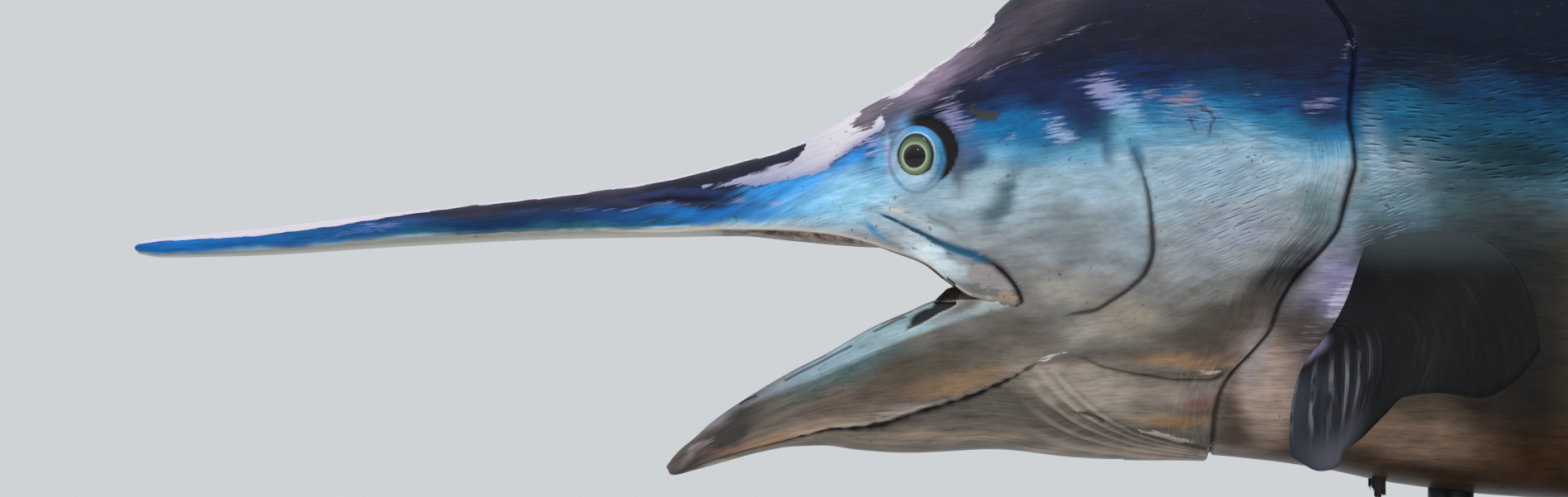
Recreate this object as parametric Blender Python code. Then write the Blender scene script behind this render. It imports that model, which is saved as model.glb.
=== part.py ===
"""A life-size painted blue marlin statue with an open mouth, held over a low base on two rods."""
import bpy
import bmesh
from math import cos, pi, radians, sin
from mathutils import Matrix, Vector

# Every curve is read in metres: distance aft of the bill tip, then height above the body axis.
LENGTH = 3.78
AXIS_HEIGHT = 0.66
GAP = 0.0003
CUTTER_GROWTH = 0.0004

# Body outline from the side
BACK = [(0.0, -0.064), (0.006, -0.0605), (0.033, -0.0567), (0.123, -0.0477), (0.303, -0.027),
        (0.483, -0.0072), (0.573, 0.006), (0.663, 0.0284), (0.708, 0.0405), (0.753, 0.062),
        (0.807, 0.0927), (0.879, 0.135), (0.915, 0.163), (0.953, 0.2016), (1.023, 0.249),
        (1.113, 0.295), (1.203, 0.324), (1.383, 0.3465), (1.6, 0.342), (2.0, 0.305),
        (2.4, 0.235), (2.8, 0.150), (3.1, 0.094), (3.3, 0.064), (3.45, 0.052)]
BELLY = [(0.58, -0.308), (0.587, -0.3165), (0.609, -0.3114), (0.645, -0.3015), (0.681, -0.2916),
         (0.717, -0.2853), (0.753, -0.284), (0.789, -0.288), (0.843, -0.2912), (0.933, -0.2871),
         (1.027, -0.2961), (1.077, -0.2979), (1.149, -0.2952), (1.239, -0.3006), (1.293, -0.308),
         (1.383, -0.3258), (1.491, -0.3375), (1.7, -0.348), (2.0, -0.335), (2.4, -0.272),
         (2.8, -0.178), (3.1, -0.105), (3.3, -0.067), (3.45, -0.052)]
# The lip runs back to the mouth corner and goes on as the widest line of the flank.
MOUTH_CORNER = 0.9614
FLANK = [(0.0, -0.0675), (0.033, -0.0675), (0.123, -0.0621), (0.303, -0.0495), (0.483, -0.0492),
         (0.573, -0.0505), (0.64, -0.0472), (0.7, -0.0475), (0.753, -0.0514), (0.789, -0.0586),
         (0.824, -0.0706), (0.86, -0.0835), (0.886, -0.104), (0.913, -0.1209),
         (0.9614, -0.1279), (1.05, -0.118), (1.15, -0.092), (1.3, -0.058), (1.5, -0.032),
         (1.8, -0.02), (2.4, -0.015), (3.45, 0.0)]
FLANK_WIDTH = [(0.0, 0.004), (0.006, 0.0075), (0.033, 0.0125), (0.123, 0.0166), (0.303, 0.022),
               (0.483, 0.029), (0.627, 0.040), (0.708, 0.053), (0.753, 0.062), (0.855, 0.083),
               (0.965, 0.106), (1.023, 0.119), (1.113, 0.137), (1.203, 0.152), (1.293, 0.164),
               (1.383, 0.173), (1.7, 0.186), (2.0, 0.178), (2.4, 0.148), (2.8, 0.103),
               (3.1, 0.066), (3.3, 0.045), (3.45, 0.034)]
PALATE = [(0.0, -0.071), (0.006, -0.0745), (0.033, -0.0783), (0.123, -0.0765), (0.303, -0.0657),
          (0.483, -0.0576), (0.573, -0.0563), (0.66, -0.055), (0.717, -0.0603), (0.789, -0.0666),
          (0.843, -0.069), (0.9, -0.079), (0.9614, -0.096)]
JAW_TIP = 0.58
RIM = [(0.58, -0.3065), (0.587, -0.2967), (0.594, -0.2885), (0.609, -0.2763), (0.6275, -0.2595),
       (0.6635, -0.2342), (0.717, -0.2026), (0.753, -0.1846), (0.8065, -0.1541), (0.842, -0.1389),
       (0.8775, -0.1255), (0.913, -0.1235), (0.9614, -0.1279)]
JAW_WIDTH = [(0.58, 0.004), (0.587, 0.0105), (0.609, 0.020), (0.663, 0.034), (0.717, 0.046),
             (0.78, 0.059), (0.843, 0.074), (0.9, 0.090), (0.9614, 0.1052)]
JAW_FLOOR = [(0.58, -0.3075), (0.594, -0.293), (0.627, -0.272), (0.663, -0.2530), (0.717, -0.2290),
             (0.78, -0.2060), (0.843, -0.186), (0.9, -0.171), (0.9614, -0.160)]
RIM_THICKNESS = 0.006
ROUNDNESS = [(0.0, 2.0), (0.6, 2.0), (0.85, 2.35), (1.2, 2.2), (2.4, 2.05), (3.45, 2.0)]

# The gill opening: height, then distance aft of the bill tip
GILL = [(-0.36, 1.167), (-0.29, 1.1685), (-0.242, 1.1709), (-0.2266, 1.174), (-0.2, 1.188),
        (-0.155, 1.2268), (-0.116, 1.2422), (-0.0755, 1.2754), (-0.0459, 1.2981),
        (0.0215, 1.3158), (0.071, 1.311), (0.13, 1.3145), (0.1983, 1.2895), (0.26, 1.258),
        (0.36, 1.215)]
GILL_RISE = 0.006
GILL_DIP = 0.004
GILL_RISE_REACH = 0.07
GILL_DIP_REACH = 0.05
GILL_TOP = 0.24

# Where the body is cut into nodes
BILL_END = 0.645
TRUNK_CUT = 2.0
TAIL_CUT = 2.9
BODY_END = 3.45
SIDE_STEPS = 7
MOUTH_STEPS = 5

# Eyes
EYE_S = 0.8535
EYE_H = 0.0305
EYE_RADIUS = 0.027
EYE_SINK = 0.012
EYE_SEGMENTS = 20
EYE_RINGS = 12

# Stand
BASE_LENGTH = 1.10
BASE_WIDTH = 0.52
BASE_THICKNESS = 0.035
BASE_S = 1.77
BASE_BEVEL = 0.006
ROD_RADIUS = 0.025
ROD_SIDES = 24
ROD_S = {"front": 1.4346, "rear": 2.10}
ROD_SEAT = 0.05

# Keels on each side of the tail stock
KEEL_S = (3.24, 3.43)
KEEL_HEIGHT = 0.017
KEEL_WIDTH = 0.013
KEEL_THICKNESS = 0.006
KEEL_STEPS = 8

# Fins
FIN_DIP = 0.012
RAY_RISE = 0.0006

# Margins of the fins on the midline: station, height off the body
FIRST_DORSAL_FRONT = [(1.295, 0.03), (1.345, 0.14), (1.415, 0.26), (1.505, 0.37), (1.60, 0.445),
                      (1.665, 0.465), (1.69, 0.395), (1.725, 0.305), (1.775, 0.222),
                      (1.845, 0.162), (1.93, 0.124)]
FIRST_DORSAL_FRONT_BASE = (1.275, 1.80)
FIRST_DORSAL_REAR = [(1.933, 0.120), (2.1, 0.085), (2.3, 0.066), (2.5, 0.055), (2.7, 0.045),
                     (2.82, 0.012)]
FIRST_DORSAL_REAR_BASE = (1.803, 2.775)
SECOND_DORSAL = [(2.88, 0.02), (2.925, 0.075), (2.965, 0.09), (3.0, 0.068), (3.05, 0.048),
                 (3.13, 0.030)]
SECOND_DORSAL_BASE = (2.86, 3.00)
FIRST_ANAL = [(2.325, 0.03), (2.39, 0.13), (2.465, 0.23), (2.535, 0.305), (2.59, 0.34),
              (2.605, 0.265), (2.63, 0.18), (2.675, 0.108), (2.735, 0.064), (2.80, 0.038)]
FIRST_ANAL_BASE = (2.31, 2.745)
SECOND_ANAL = [(2.85, 0.02), (2.895, 0.07), (2.935, 0.085), (2.97, 0.064), (3.02, 0.045),
               (3.10, 0.028)]
SECOND_ANAL_BASE = (2.83, 2.97)

# One lobe of the tail fin: leading edge and trailing edge as station and height
TAIL_LEAD = [(3.33, 0.042), (3.42, 0.092), (3.50, 0.185), (3.585, 0.310), (3.67, 0.43),
             (3.735, 0.51), (3.775, 0.56)]
TAIL_TRAIL = [(3.525, 0.0), (3.545, 0.055), (3.575, 0.135), (3.62, 0.245), (3.68, 0.37),
              (3.74, 0.48), (3.78, 0.555)]
TAIL_ROOT = (3.33, 0.0)
TAIL_COLUMNS = 13
TAIL_STEPS = 7
TAIL_ROOT_HALF = 0.014
TAIL_EDGE_HALF = 0.0016

# The pectoral fin from its front ray to its rear one: share, station, side and height
PECTORAL_ROOT = [(0.0, 1.3275, 0.148, -0.072), (0.5, 1.310, 0.146, -0.122),
                 (1.0, 1.291, 0.140, -0.1735)]
PECTORAL_MIDDLE = [(0.0, 1.431, 0.44, -0.062), (0.26, 1.403, 0.42, -0.102),
                   (0.5, 1.369, 0.37, -0.1405), (0.7, 1.335, 0.32, -0.167),
                   (0.85, 1.303, 0.28, -0.189), (1.0, 1.2516, 0.235, -0.216)]
PECTORAL_MARGIN = [(0.0, 1.465, 0.64, -0.171), (0.12, 1.445, 0.60, -0.201),
                   (0.26, 1.411, 0.56, -0.220), (0.4, 1.375, 0.50, -0.216),
                   (0.52, 1.345, 0.45, -0.2205), (0.62, 1.327, 0.41, -0.241),
                   (0.72, 1.305, 0.37, -0.267), (0.8, 1.2925, 0.34, -0.279),
                   (0.86, 1.286, 0.32, -0.2965), (0.93, 1.2695, 0.30, -0.302),
                   (1.0, 1.243, 0.27, -0.2875)]
PECTORAL_COLUMNS = 19
PECTORAL_STEPS = 8
PECTORAL_ROOT_HALF = 0.008
PECTORAL_TIP_HALF = 0.0016

# Broken stub of a pelvic fin: front and rear station, then its three prongs
PELVIC_S = (1.3465, 1.3625)
PELVIC_SIDE = 0.022
PELVIC_DROP = (0.013, 0.020, 0.015)
PELVIC_HALF = 0.003


def smooth(points):
    """Give the function of a curve through the points that never overshoots them."""
    xs = [p[0] for p in points]
    ys = [p[1] for p in points]
    rise = [(ys[i + 1] - ys[i]) / (xs[i + 1] - xs[i]) for i in range(len(xs) - 1)]
    slope = [rise[0]]
    for before, after in zip(rise, rise[1:]):
        slope.append(2 * before * after / (before + after) if before * after > 0 else 0.0)
    slope.append(rise[-1])

    def value(x):
        if x <= xs[0]:
            return ys[0]
        if x >= xs[-1]:
            return ys[-1]
        i = max(k for k in range(len(xs) - 1) if xs[k] <= x)
        width = xs[i + 1] - xs[i]
        u = (x - xs[i]) / width
        return (ys[i] * (1 + 2 * u) * (1 - u) ** 2 + ys[i + 1] * u * u * (3 - 2 * u)
                + width * (slope[i] * u * (1 - u) ** 2 - slope[i + 1] * u * u * (1 - u)))
    return value


back = smooth(BACK)
belly = smooth(BELLY)
flank = smooth(FLANK)
flank_width = smooth(FLANK_WIDTH)
palate = smooth(PALATE)
rim = smooth(RIM)
jaw_width = smooth(JAW_WIDTH)
jaw_floor = smooth(JAW_FLOOR)
roundness = smooth(ROUNDNESS)
gill = smooth(GILL)


def ease(x):
    """Run smoothly from 0 to 1 while x does."""
    x = min(max(x, 0.0), 1.0)
    return x * x * (3 - 2 * x)


def gill_relief(s, h):
    """How far the head plate stands proud, or the flank behind it dips, at this place."""
    fade = ease((GILL_TOP - h) / 0.08)
    ahead = gill(h) - s
    if ahead >= 0:
        return GILL_RISE * fade * (1 - ease(ahead / GILL_RISE_REACH))
    return -GILL_DIP * fade * (1 - ease(-ahead / GILL_DIP_REACH))


def arc(s, t):
    """Outer section at s: t is 0 on the back, 1 on the lip or flank and 2 under the belly."""
    power = 2 / roundness(s)
    if t <= 1:
        turn = t * pi / 2
        edge = flank(s)
        width = flank_width(s) * max(sin(turn), 0.0) ** power
        height = edge + (back(s) - edge) * max(cos(turn), 0.0) ** power
    else:
        turn = (t - 1) * pi / 2
        edge = rim(s) if s < MOUTH_CORNER else flank(s)
        widest = jaw_width(s) if s < MOUTH_CORNER else flank_width(s)
        width = widest * max(cos(turn), 0.0) ** power
        height = edge + (belly(s) - edge) * max(sin(turn), 0.0) ** power
    return width, height


def skin_point(s, t, growth=0.0):
    """A point of the outer surface, moved out by the gill relief and the growth."""
    width, height = arc(s, t)
    step = 0.02
    low = arc(s, max(t - step, 0.0))
    high = arc(s, min(t + step, 2.0))
    along = Vector((high[0] - low[0], high[1] - low[1]))
    if along.length < 1e-9:
        return Vector((s, width, height))
    out = Vector((-along.y, along.x)).normalized()
    if t < step:
        out = Vector((0.0, 1.0))
    if t > 2 - step:
        out = Vector((0.0, -1.0))
    # The relief is sideways only, so that head and trunk meet on one curved face.
    sideways = gill_relief(s, height) * min(1.0, abs(out.x) * 2)
    return Vector((s, width + sideways + out.x * growth, height + out.y * growth))


def gill_point(t, shift):
    """The station where this line of the surface crosses the gill opening, moved aft by the shift."""
    s = gill(0.0)
    for _ in range(12):
        s = gill(arc(s, t)[1])
    return s + shift


def place(point, side=1):
    """Turn a section point into world coordinates on the given side."""
    return Vector((point[0] - LENGTH / 2, side * point[1], point[2] + AXIS_HEIGHT))


def finish(name, bm, material, shade=True):
    """Make an object from the mesh, facing outward, with its own material."""
    bmesh.ops.recalc_face_normals(bm, faces=bm.faces)
    mesh = bpy.data.meshes.new(name)
    bm.to_mesh(mesh)
    bm.free()
    for polygon in mesh.polygons:
        polygon.use_smooth = shade
    mesh.materials.append(material)
    obj = bpy.data.objects.new(name, mesh)
    bpy.context.scene.collection.objects.link(obj)
    return obj


def material(name, colour, roughness, metallic=0.0):
    """A plain material with its own colour and finish."""
    made = bpy.data.materials.new(name)
    made.use_nodes = True
    node = made.node_tree.nodes["Principled BSDF"]
    node.inputs["Base Color"].default_value = (*colour, 1.0)
    node.inputs["Roughness"].default_value = roughness
    node.inputs["Metallic"].default_value = metallic
    made.diffuse_color = (*colour, 1.0)
    return made


def ring(bm, half):
    """Add a closed ring from the left half of a section, given from top to bottom."""
    left = [bm.verts.new(place(p, -1)) for p in half]
    right = [bm.verts.new(place(p, 1)) for p in half[1:-1]]
    return left + right[::-1]


def join_rings(bm, first, second):
    """Skin two rings of the same count with quads."""
    count = len(first)
    for i in range(count):
        j = (i + 1) % count
        bm.faces.new((first[i], first[j], second[j], second[i]))


def cap_ring(bm, loop):
    """Close a ring with strips that run from its left side to its right side."""
    half = len(loop) // 2
    right = [loop[0]] + loop[:half:-1] + [loop[half]]
    left = loop[:half + 1]
    for i in range(half):
        corners = [left[i], left[i + 1], right[i + 1], right[i]]
        kept = []
        for vert in corners:
            if vert not in kept:
                kept.append(vert)
        bm.faces.new(kept)


def spread(first, last, count):
    """Evenly spaced values from first to last."""
    return [first + (last - first) * i / count for i in range(count + 1)]


def boolean(target, cutter, operation="DIFFERENCE"):
    """Cut one mesh with another and keep the largest closed piece."""
    cutter.hide_render = True
    cutter.display_type = "WIRE"
    modifier = target.modifiers.new(operation.lower(), "BOOLEAN")
    modifier.operation = operation
    modifier.solver = "EXACT"
    modifier.object = cutter
    bpy.context.view_layer.update()
    graph = bpy.context.evaluated_depsgraph_get()
    result = bpy.data.meshes.new_from_object(target.evaluated_get(graph))
    target.modifiers.clear()
    old = target.data
    name = old.name
    target.data = result
    bpy.data.meshes.remove(old)
    result.name = name
    keep_largest(target)


def keep_largest(obj):
    """Drop every loose piece of the mesh but the one with the largest volume."""
    bm = bmesh.new()
    bm.from_mesh(obj.data)
    left = set(bm.verts)
    pieces = []
    while left:
        stack = [left.pop()]
        piece = set(stack)
        while stack:
            for edge in stack.pop().link_edges:
                for vert in edge.verts:
                    if vert in left:
                        left.discard(vert)
                        piece.add(vert)
                        stack.append(vert)
        faces = {face for vert in piece for face in vert.link_faces}
        volume = 0.0
        for face in faces:
            corners = [v.co for v in face.verts]
            for i in range(1, len(corners) - 1):
                volume += corners[0].dot(corners[i].cross(corners[i + 1])) / 6
        pieces.append((abs(volume), piece))
    largest = max(pieces, key=lambda item: item[0])[1]
    spare = [vert for vert in bm.verts if vert not in largest]
    bmesh.ops.delete(bm, geom=spare, context="VERTS")
    bmesh.ops.remove_doubles(bm, verts=bm.verts, dist=0.00002)
    bmesh.ops.dissolve_degenerate(bm, edges=bm.edges, dist=0.00002)
    bmesh.ops.triangulate(bm, faces=[f for f in bm.faces if len(f.verts) > 4])
    bmesh.ops.recalc_face_normals(bm, faces=bm.faces)
    bm.to_mesh(obj.data)
    bm.free()


def remove(obj):
    """Delete a helper object."""
    bpy.data.objects.remove(obj)


def upper_half(s):
    """Left half of the bill and upper jaw: back, lip, then palate."""
    side = [skin_point(s, t) for t in spread(0.0, 1.0, SIDE_STEPS)]
    lip = side[-1]
    power = 2 / roundness(s)
    for t in spread(0.0, 1.0, MOUTH_STEPS)[1:]:
        turn = t * pi / 2
        width = lip.y * max(cos(turn), 0.0) ** power
        side.append(Vector((s, width, lip.z + (palate(s) - lip.z) * sin(turn) ** power)))
    side[0].y = 0.0
    side[-1].y = 0.0
    return side


def lower_half(s):
    """Left half of the lower jaw: mouth floor, rim, then outer side down to the chin."""
    outer = [skin_point(s, t) for t in spread(1.0001, 2.0, SIDE_STEPS)]
    edge = outer[0]
    thickness = min(RIM_THICKNESS, edge.y * 0.35)
    inner = Vector((s, edge.y - thickness, edge.z))
    power = 2 / roundness(s)
    trough = []
    for t in spread(1.0, 0.0, MOUTH_STEPS):
        turn = t * pi / 2
        trough.append(Vector((s, inner.y * max(cos(turn), 0.0) ** power,
                              inner.z + (jaw_floor(s) - inner.z) * sin(turn) ** power)))
    trough[0].y = 0.0
    outer[-1].y = 0.0
    return trough + outer


def whole_half(stations, growth=0.0):
    """Left half of the body behind the mouth, each point at its own station."""
    count = 2 * SIDE_STEPS
    half = [skin_point(stations(t), t, growth) for t in spread(0.0, 2.0, count)]
    half[0].y = 0.0
    half[-1].y = 0.0
    return half


def between(first, second, u):
    """Blend two ways of giving a station."""
    return lambda t: first(t) + (second(t) - first(t)) * u


def at(s):
    """The same station all around the body."""
    return lambda t: s


def gill_line(shift):
    """Stations along the gill opening, moved aft by the shift."""
    return lambda t: gill_point(t, shift)


def body_run(bm, runs, growth=0.0, cap_first=True, cap_last=True):
    """Skin a run of whole sections and cap its ends."""
    rings = [ring(bm, whole_half(run, growth)) for run in runs]
    for first, second in zip(rings, rings[1:]):
        join_rings(bm, first, second)
    if cap_first:
        cap_ring(bm, rings[0])
    if cap_last:
        cap_ring(bm, rings[-1])
    return rings


def make_bill(paint):
    """The long spear of the upper jaw."""
    bm = bmesh.new()
    rings = [ring(bm, upper_half(s)) for s in
             (0.0, 0.006, 0.018, 0.04, 0.09, 0.16, 0.24, 0.33, 0.42, 0.51, 0.58, BILL_END - GAP)]
    for first, second in zip(rings, rings[1:]):
        join_rings(bm, first, second)
    cap_ring(bm, rings[0])
    cap_ring(bm, rings[-1])
    return finish("bill", bm, paint)


def make_lower_jaw(paint):
    """The lower jaw with its trough, from its tip to the mouth corner."""
    bm = bmesh.new()
    stations = [0.5805, 0.585, 0.594, 0.609, 0.63, 0.66, 0.70, 0.74, 0.78, 0.82, 0.86, 0.90, 0.935,
                MOUTH_CORNER - GAP]
    rings = [ring(bm, lower_half(s)) for s in stations]
    for first, second in zip(rings, rings[1:]):
        join_rings(bm, first, second)
    for loop in (rings[0], rings[-1]):
        cap_trough(bm, loop)
    return finish("lower_jaw", bm, paint)


def cap_trough(bm, loop):
    """Close a U-shaped ring: strips from its inner line to its outer line on each side."""
    half = len(loop) // 2
    for side in (loop[:half + 1], [loop[0]] + loop[:half - 1:-1]):
        inner = side[:MOUTH_STEPS + 1][::-1]
        outer = side[MOUTH_STEPS + 1:]
        for i in range(max(len(inner), len(outer)) - 1):
            a = inner[min(i, len(inner) - 1)]
            b = inner[min(i + 1, len(inner) - 1)]
            c = outer[min(i + 1, len(outer) - 1)]
            d = outer[min(i, len(outer) - 1)]
            kept = []
            for vert in (a, b, c, d):
                if vert not in kept:
                    kept.append(vert)
            bm.faces.new(kept)


def make_head(paint):
    """The head from the root of the bill to the gill opening, with the roof of the mouth."""
    bm = bmesh.new()
    front = [BILL_END, 0.68, 0.715, 0.75, 0.785, 0.82, 0.855, 0.89, 0.93, MOUTH_CORNER]
    uppers = [ring(bm, upper_half(s)) for s in front]
    for first, second in zip(uppers, uppers[1:]):
        join_rings(bm, first, second)
    cap_ring(bm, uppers[0])
    # Behind the mouth corner the section is whole; its back half is shared with the upper jaw.
    start = at(MOUTH_CORNER)
    end = gill_line(0.0)
    whole = [whole_half(between(start, end, u)) for u in spread(0.0, 1.0, 8)]
    mouth = uppers[-1]
    count = len(mouth)
    lower_left = [bm.verts.new(place(p, -1)) for p in whole[0][SIDE_STEPS + 1:]]
    lower_right = [bm.verts.new(place(p, 1)) for p in whole[0][SIDE_STEPS + 1:-1]]
    lower_right.append(lower_left[-1])
    first = mouth[:SIDE_STEPS + 1] + lower_left + lower_right[-2::-1]
    first += mouth[count - SIDE_STEPS:]
    # The back wall of the mouth joins the palate to the lower half of the section.
    palate_left = mouth[SIDE_STEPS:SIDE_STEPS + MOUTH_STEPS + 1]
    palate_right = mouth[SIDE_STEPS + MOUTH_STEPS:count - SIDE_STEPS + 1][::-1]
    for inner, outer in ((palate_left, [palate_left[0]] + lower_left),
                         (palate_right, [palate_right[0]] + lower_right)):
        for i in range(max(len(inner), len(outer)) - 1):
            a = inner[min(i, len(inner) - 1)]
            b = inner[min(i + 1, len(inner) - 1)]
            c = outer[min(i + 1, len(outer) - 1)]
            d = outer[min(i, len(outer) - 1)]
            kept = []
            for vert in (a, b, c, d):
                if vert not in kept:
                    kept.append(vert)
            bm.faces.new(kept)
    rings = [first] + [ring(bm, half) for half in whole[1:]]
    for one, two in zip(rings, rings[1:]):
        join_rings(bm, one, two)
    cap_ring(bm, rings[-1])
    return finish("head", bm, paint)


def trunk_runs():
    """Stations of the trunk and the tail stock, as lists for each node."""
    start = gill_line(GAP)
    end = at(1.5)
    front = [between(start, end, u) for u in (0.0, 0.12, 0.3, 0.6, 1.0)]
    front += [at(s) for s in (1.6, 1.72, 1.86, TRUNK_CUT)]
    rear = [at(s) for s in (TRUNK_CUT, 2.12, 2.26, 2.42, 2.58, 2.74, TAIL_CUT)]
    tail = [at(s) for s in (TAIL_CUT, 3.0, 3.1, 3.2, 3.3, 3.39, BODY_END)]
    return front, rear, tail


def make_trunk(paints):
    """The trunk in two lengths and the tail stock, face to face."""
    front, rear, tail = trunk_runs()
    rear[0] = at(TRUNK_CUT + GAP)
    tail[0] = at(TAIL_CUT + GAP)
    made = []
    for name, runs, paint in (("trunk_front", front, paints[0]), ("trunk_rear", rear, paints[1]),
                              ("tail_stock", tail, paints[2])):
        bm = bmesh.new()
        body_run(bm, runs)
        made.append(finish(name, bm, paint))
    return made


def make_body_cutter(paint):
    """One slightly larger body that gives every fin and rod its seat."""
    front, rear, tail = trunk_runs()
    bm = bmesh.new()
    last = at(BODY_END + CUTTER_GROWTH)
    body_run(bm, front + rear[1:] + tail[1:-1] + [last], CUTTER_GROWTH)
    return finish("body_cutter", bm, paint)


def sheet(name, rows, halves, paint, side=None):
    """A thin closed fin from rows of middle points and half thicknesses along its normals.

    rows[i][j] holds the point of ray i at step j; both faces are cut into triangles alike.
    """
    bm = bmesh.new()
    count = len(rows)
    steps = len(rows[0])
    front = []
    rear = []
    for i in range(count):
        front.append([])
        rear.append([])
        for j in range(steps):
            across = rows[min(i + 1, count - 1)][j] - rows[max(i - 1, 0)][j]
            along = rows[i][min(j + 1, steps - 1)] - rows[i][max(j - 1, 0)]
            normal = side if side is not None else across.cross(along).normalized()
            offset = normal * halves[i][j]
            front[i].append(bm.verts.new(rows[i][j] + offset))
            rear[i].append(bm.verts.new(rows[i][j] - offset))
    for i in range(count - 1):
        for j in range(steps - 1):
            for face in (front, rear):
                a, b, c, d = face[i][j], face[i + 1][j], face[i + 1][j + 1], face[i][j + 1]
                if (i + j) % 2:
                    bm.faces.new((a, b, c))
                    bm.faces.new((a, c, d))
                else:
                    bm.faces.new((a, b, d))
                    bm.faces.new((b, c, d))
    border = [(i, 0) for i in range(count)] + [(count - 1, j) for j in range(1, steps)]
    border += [(i, steps - 1) for i in range(count - 2, -1, -1)]
    border += [(0, j) for j in range(steps - 2, 0, -1)]
    for (i, j), (k, m) in zip(border, border[1:] + border[:1]):
        bm.faces.new((front[i][j], front[k][m], rear[k][m], rear[i][j]))
    return finish(name, bm, paint)


def half_thickness(i, along, root, tip):
    """Half thickness of a fin: thick at its root, thin at its margin, raised on every second line."""
    return root + (tip - root) * along ** 0.6 + (RAY_RISE if i % 2 == 0 else 0.0)


def midline_fin(name, base, outer, count, steps, paint, below=False, lean=0.25,
                root=0.006, tip=0.0015):
    """A fin on the middle of the back or belly.

    base is its first and last station; outer gives its margin as station and height off the body.
    """
    edge = belly if below else back
    sign = -1 if below else 1
    margin_s = smooth([(k / (len(outer) - 1), p[0]) for k, p in enumerate(outer)])
    margin_h = smooth([(k / (len(outer) - 1), p[1]) for k, p in enumerate(outer)])
    rows = []
    halves = []
    for i in range(count):
        r = i / (count - 1)
        s0 = base[0] + (base[1] - base[0]) * r
        low = Vector((s0, 0.0, edge(s0) - sign * FIN_DIP))
        s1 = margin_s(r)
        high = Vector((s1, 0.0, edge(min(s1, BODY_END)) + sign * margin_h(r)))
        rows.append([])
        halves.append([])
        for j in range(steps):
            q = j / (steps - 1)
            swept = q + lean * q * (1 - q)
            s = low.x + (high.x - low.x) * (q * q * lean + q * (1 - lean))
            h = low.z + (high.z - low.z) * swept
            rows[-1].append(place((s, 0.0, h)))
            halves[-1].append(half_thickness(i, q, root, tip))
    return sheet(name, rows, halves, paint, side=Vector((0.0, 1.0, 0.0)))


def tail_lobe(name, sign, paint):
    """One crescent lobe of the tail fin, its root around the end of the tail stock."""
    count = len(TAIL_LEAD) - 1
    lead = [smooth([(k / count, p[axis]) for k, p in enumerate(TAIL_LEAD)]) for axis in (0, 1)]
    trail = [smooth([(k / count, p[axis]) for k, p in enumerate(TAIL_TRAIL)]) for axis in (0, 1)]
    rows = []
    halves = []
    for i in range(TAIL_COLUMNS):
        q = i / (TAIL_COLUMNS - 1)
        rows.append([])
        halves.append([])
        for j in range(TAIL_STEPS):
            v = j / (TAIL_STEPS - 1)
            front = Vector((lead[0](q), 0.0, lead[1](q)))
            rear = Vector((trail[0](q), 0.0, trail[1](q)))
            if i == 0:
                front = Vector((TAIL_ROOT[0], 0.0, GAP / 2))
                rear.z = GAP / 2
            point = front.lerp(rear, v)
            rows[-1].append(place((point.x, 0.0, sign * point.z)))
            thick = TAIL_EDGE_HALF + (TAIL_ROOT_HALF - TAIL_EDGE_HALF) * (1 - v) * (1 - q) ** 2
            halves[-1].append(thick + (RAY_RISE if j % 2 else 0.0))
    return sheet(name, rows, halves, paint, side=Vector((0.0, 1.0, 0.0)))


def track(points):
    """Give the function of a curve in space from points that start with their share of it."""
    axes = [smooth([(p[0], p[axis]) for p in points]) for axis in (1, 2, 3)]
    return lambda share: Vector([axis(share) for axis in axes])


def pectoral(name, side, paint):
    """A flared pectoral fin whose rays bend down toward their tips."""
    tracks = [track(points) for points in (PECTORAL_ROOT, PECTORAL_MIDDLE, PECTORAL_MARGIN)]
    rows = []
    halves = []
    for i in range(PECTORAL_COLUMNS):
        root, middle, tip = [each(i / (PECTORAL_COLUMNS - 1)) for each in tracks]
        control = 2 * middle - (root + tip) / 2
        rows.append([])
        halves.append([])
        for j in range(PECTORAL_STEPS):
            q = j / (PECTORAL_STEPS - 1)
            point = root * (1 - q) ** 2 + control * 2 * q * (1 - q) + tip * q * q
            rows[-1].append(place(point, side))
            halves[-1].append(half_thickness(i, q, PECTORAL_ROOT_HALF, PECTORAL_TIP_HALF))
    return sheet(name, rows, halves, paint)


def pelvic_stub(name, side, paint):
    """What is left of a pelvic fin: a short jagged flap beside the keel of the belly."""
    rows = []
    halves = []
    for i in range(5):
        s = PELVIC_S[0] + (PELVIC_S[1] - PELVIC_S[0]) * i / 4
        drop = PELVIC_DROP[i // 2] if i % 2 == 0 else 0.008
        top = belly(s) + 0.014
        rows.append([place((s, PELVIC_SIDE, h), side) for h in spread(top, belly(s) - drop, 2)])
        halves.append([PELVIC_HALF, PELVIC_HALF * 0.8, PELVIC_HALF * 0.5])
    return sheet(name, rows, halves, paint, side=Vector((0.0, 1.0, 0.0)))


def keel(name, side, sign, paint):
    """A low ridge along the side of the tail stock."""
    rows = []
    halves = []
    for i in range(KEEL_STEPS + 1):
        u = i / KEEL_STEPS
        s = KEEL_S[0] + (KEEL_S[1] - KEEL_S[0]) * u
        height = sign * KEEL_HEIGHT * (1 - 0.45 * u)
        t = 1 - height / (back(s) - flank(s)) * 2 / pi if sign > 0 else \
            1 + height / (belly(s) - flank(s)) * 2 / pi
        width = arc(s, t)[0]
        reach = 0.002 + KEEL_WIDTH * sin(pi * min(u * 1.1, 1.0)) ** 0.7
        rows.append([place((s, width + d, height), side) for d in (-0.006, reach * 0.5, reach)])
        halves.append([KEEL_THICKNESS, KEEL_THICKNESS * 0.6, KEEL_THICKNESS * 0.2])
    return sheet(name, rows, halves, paint, side=Vector((0.0, 0.0, 1.0)))


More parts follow.
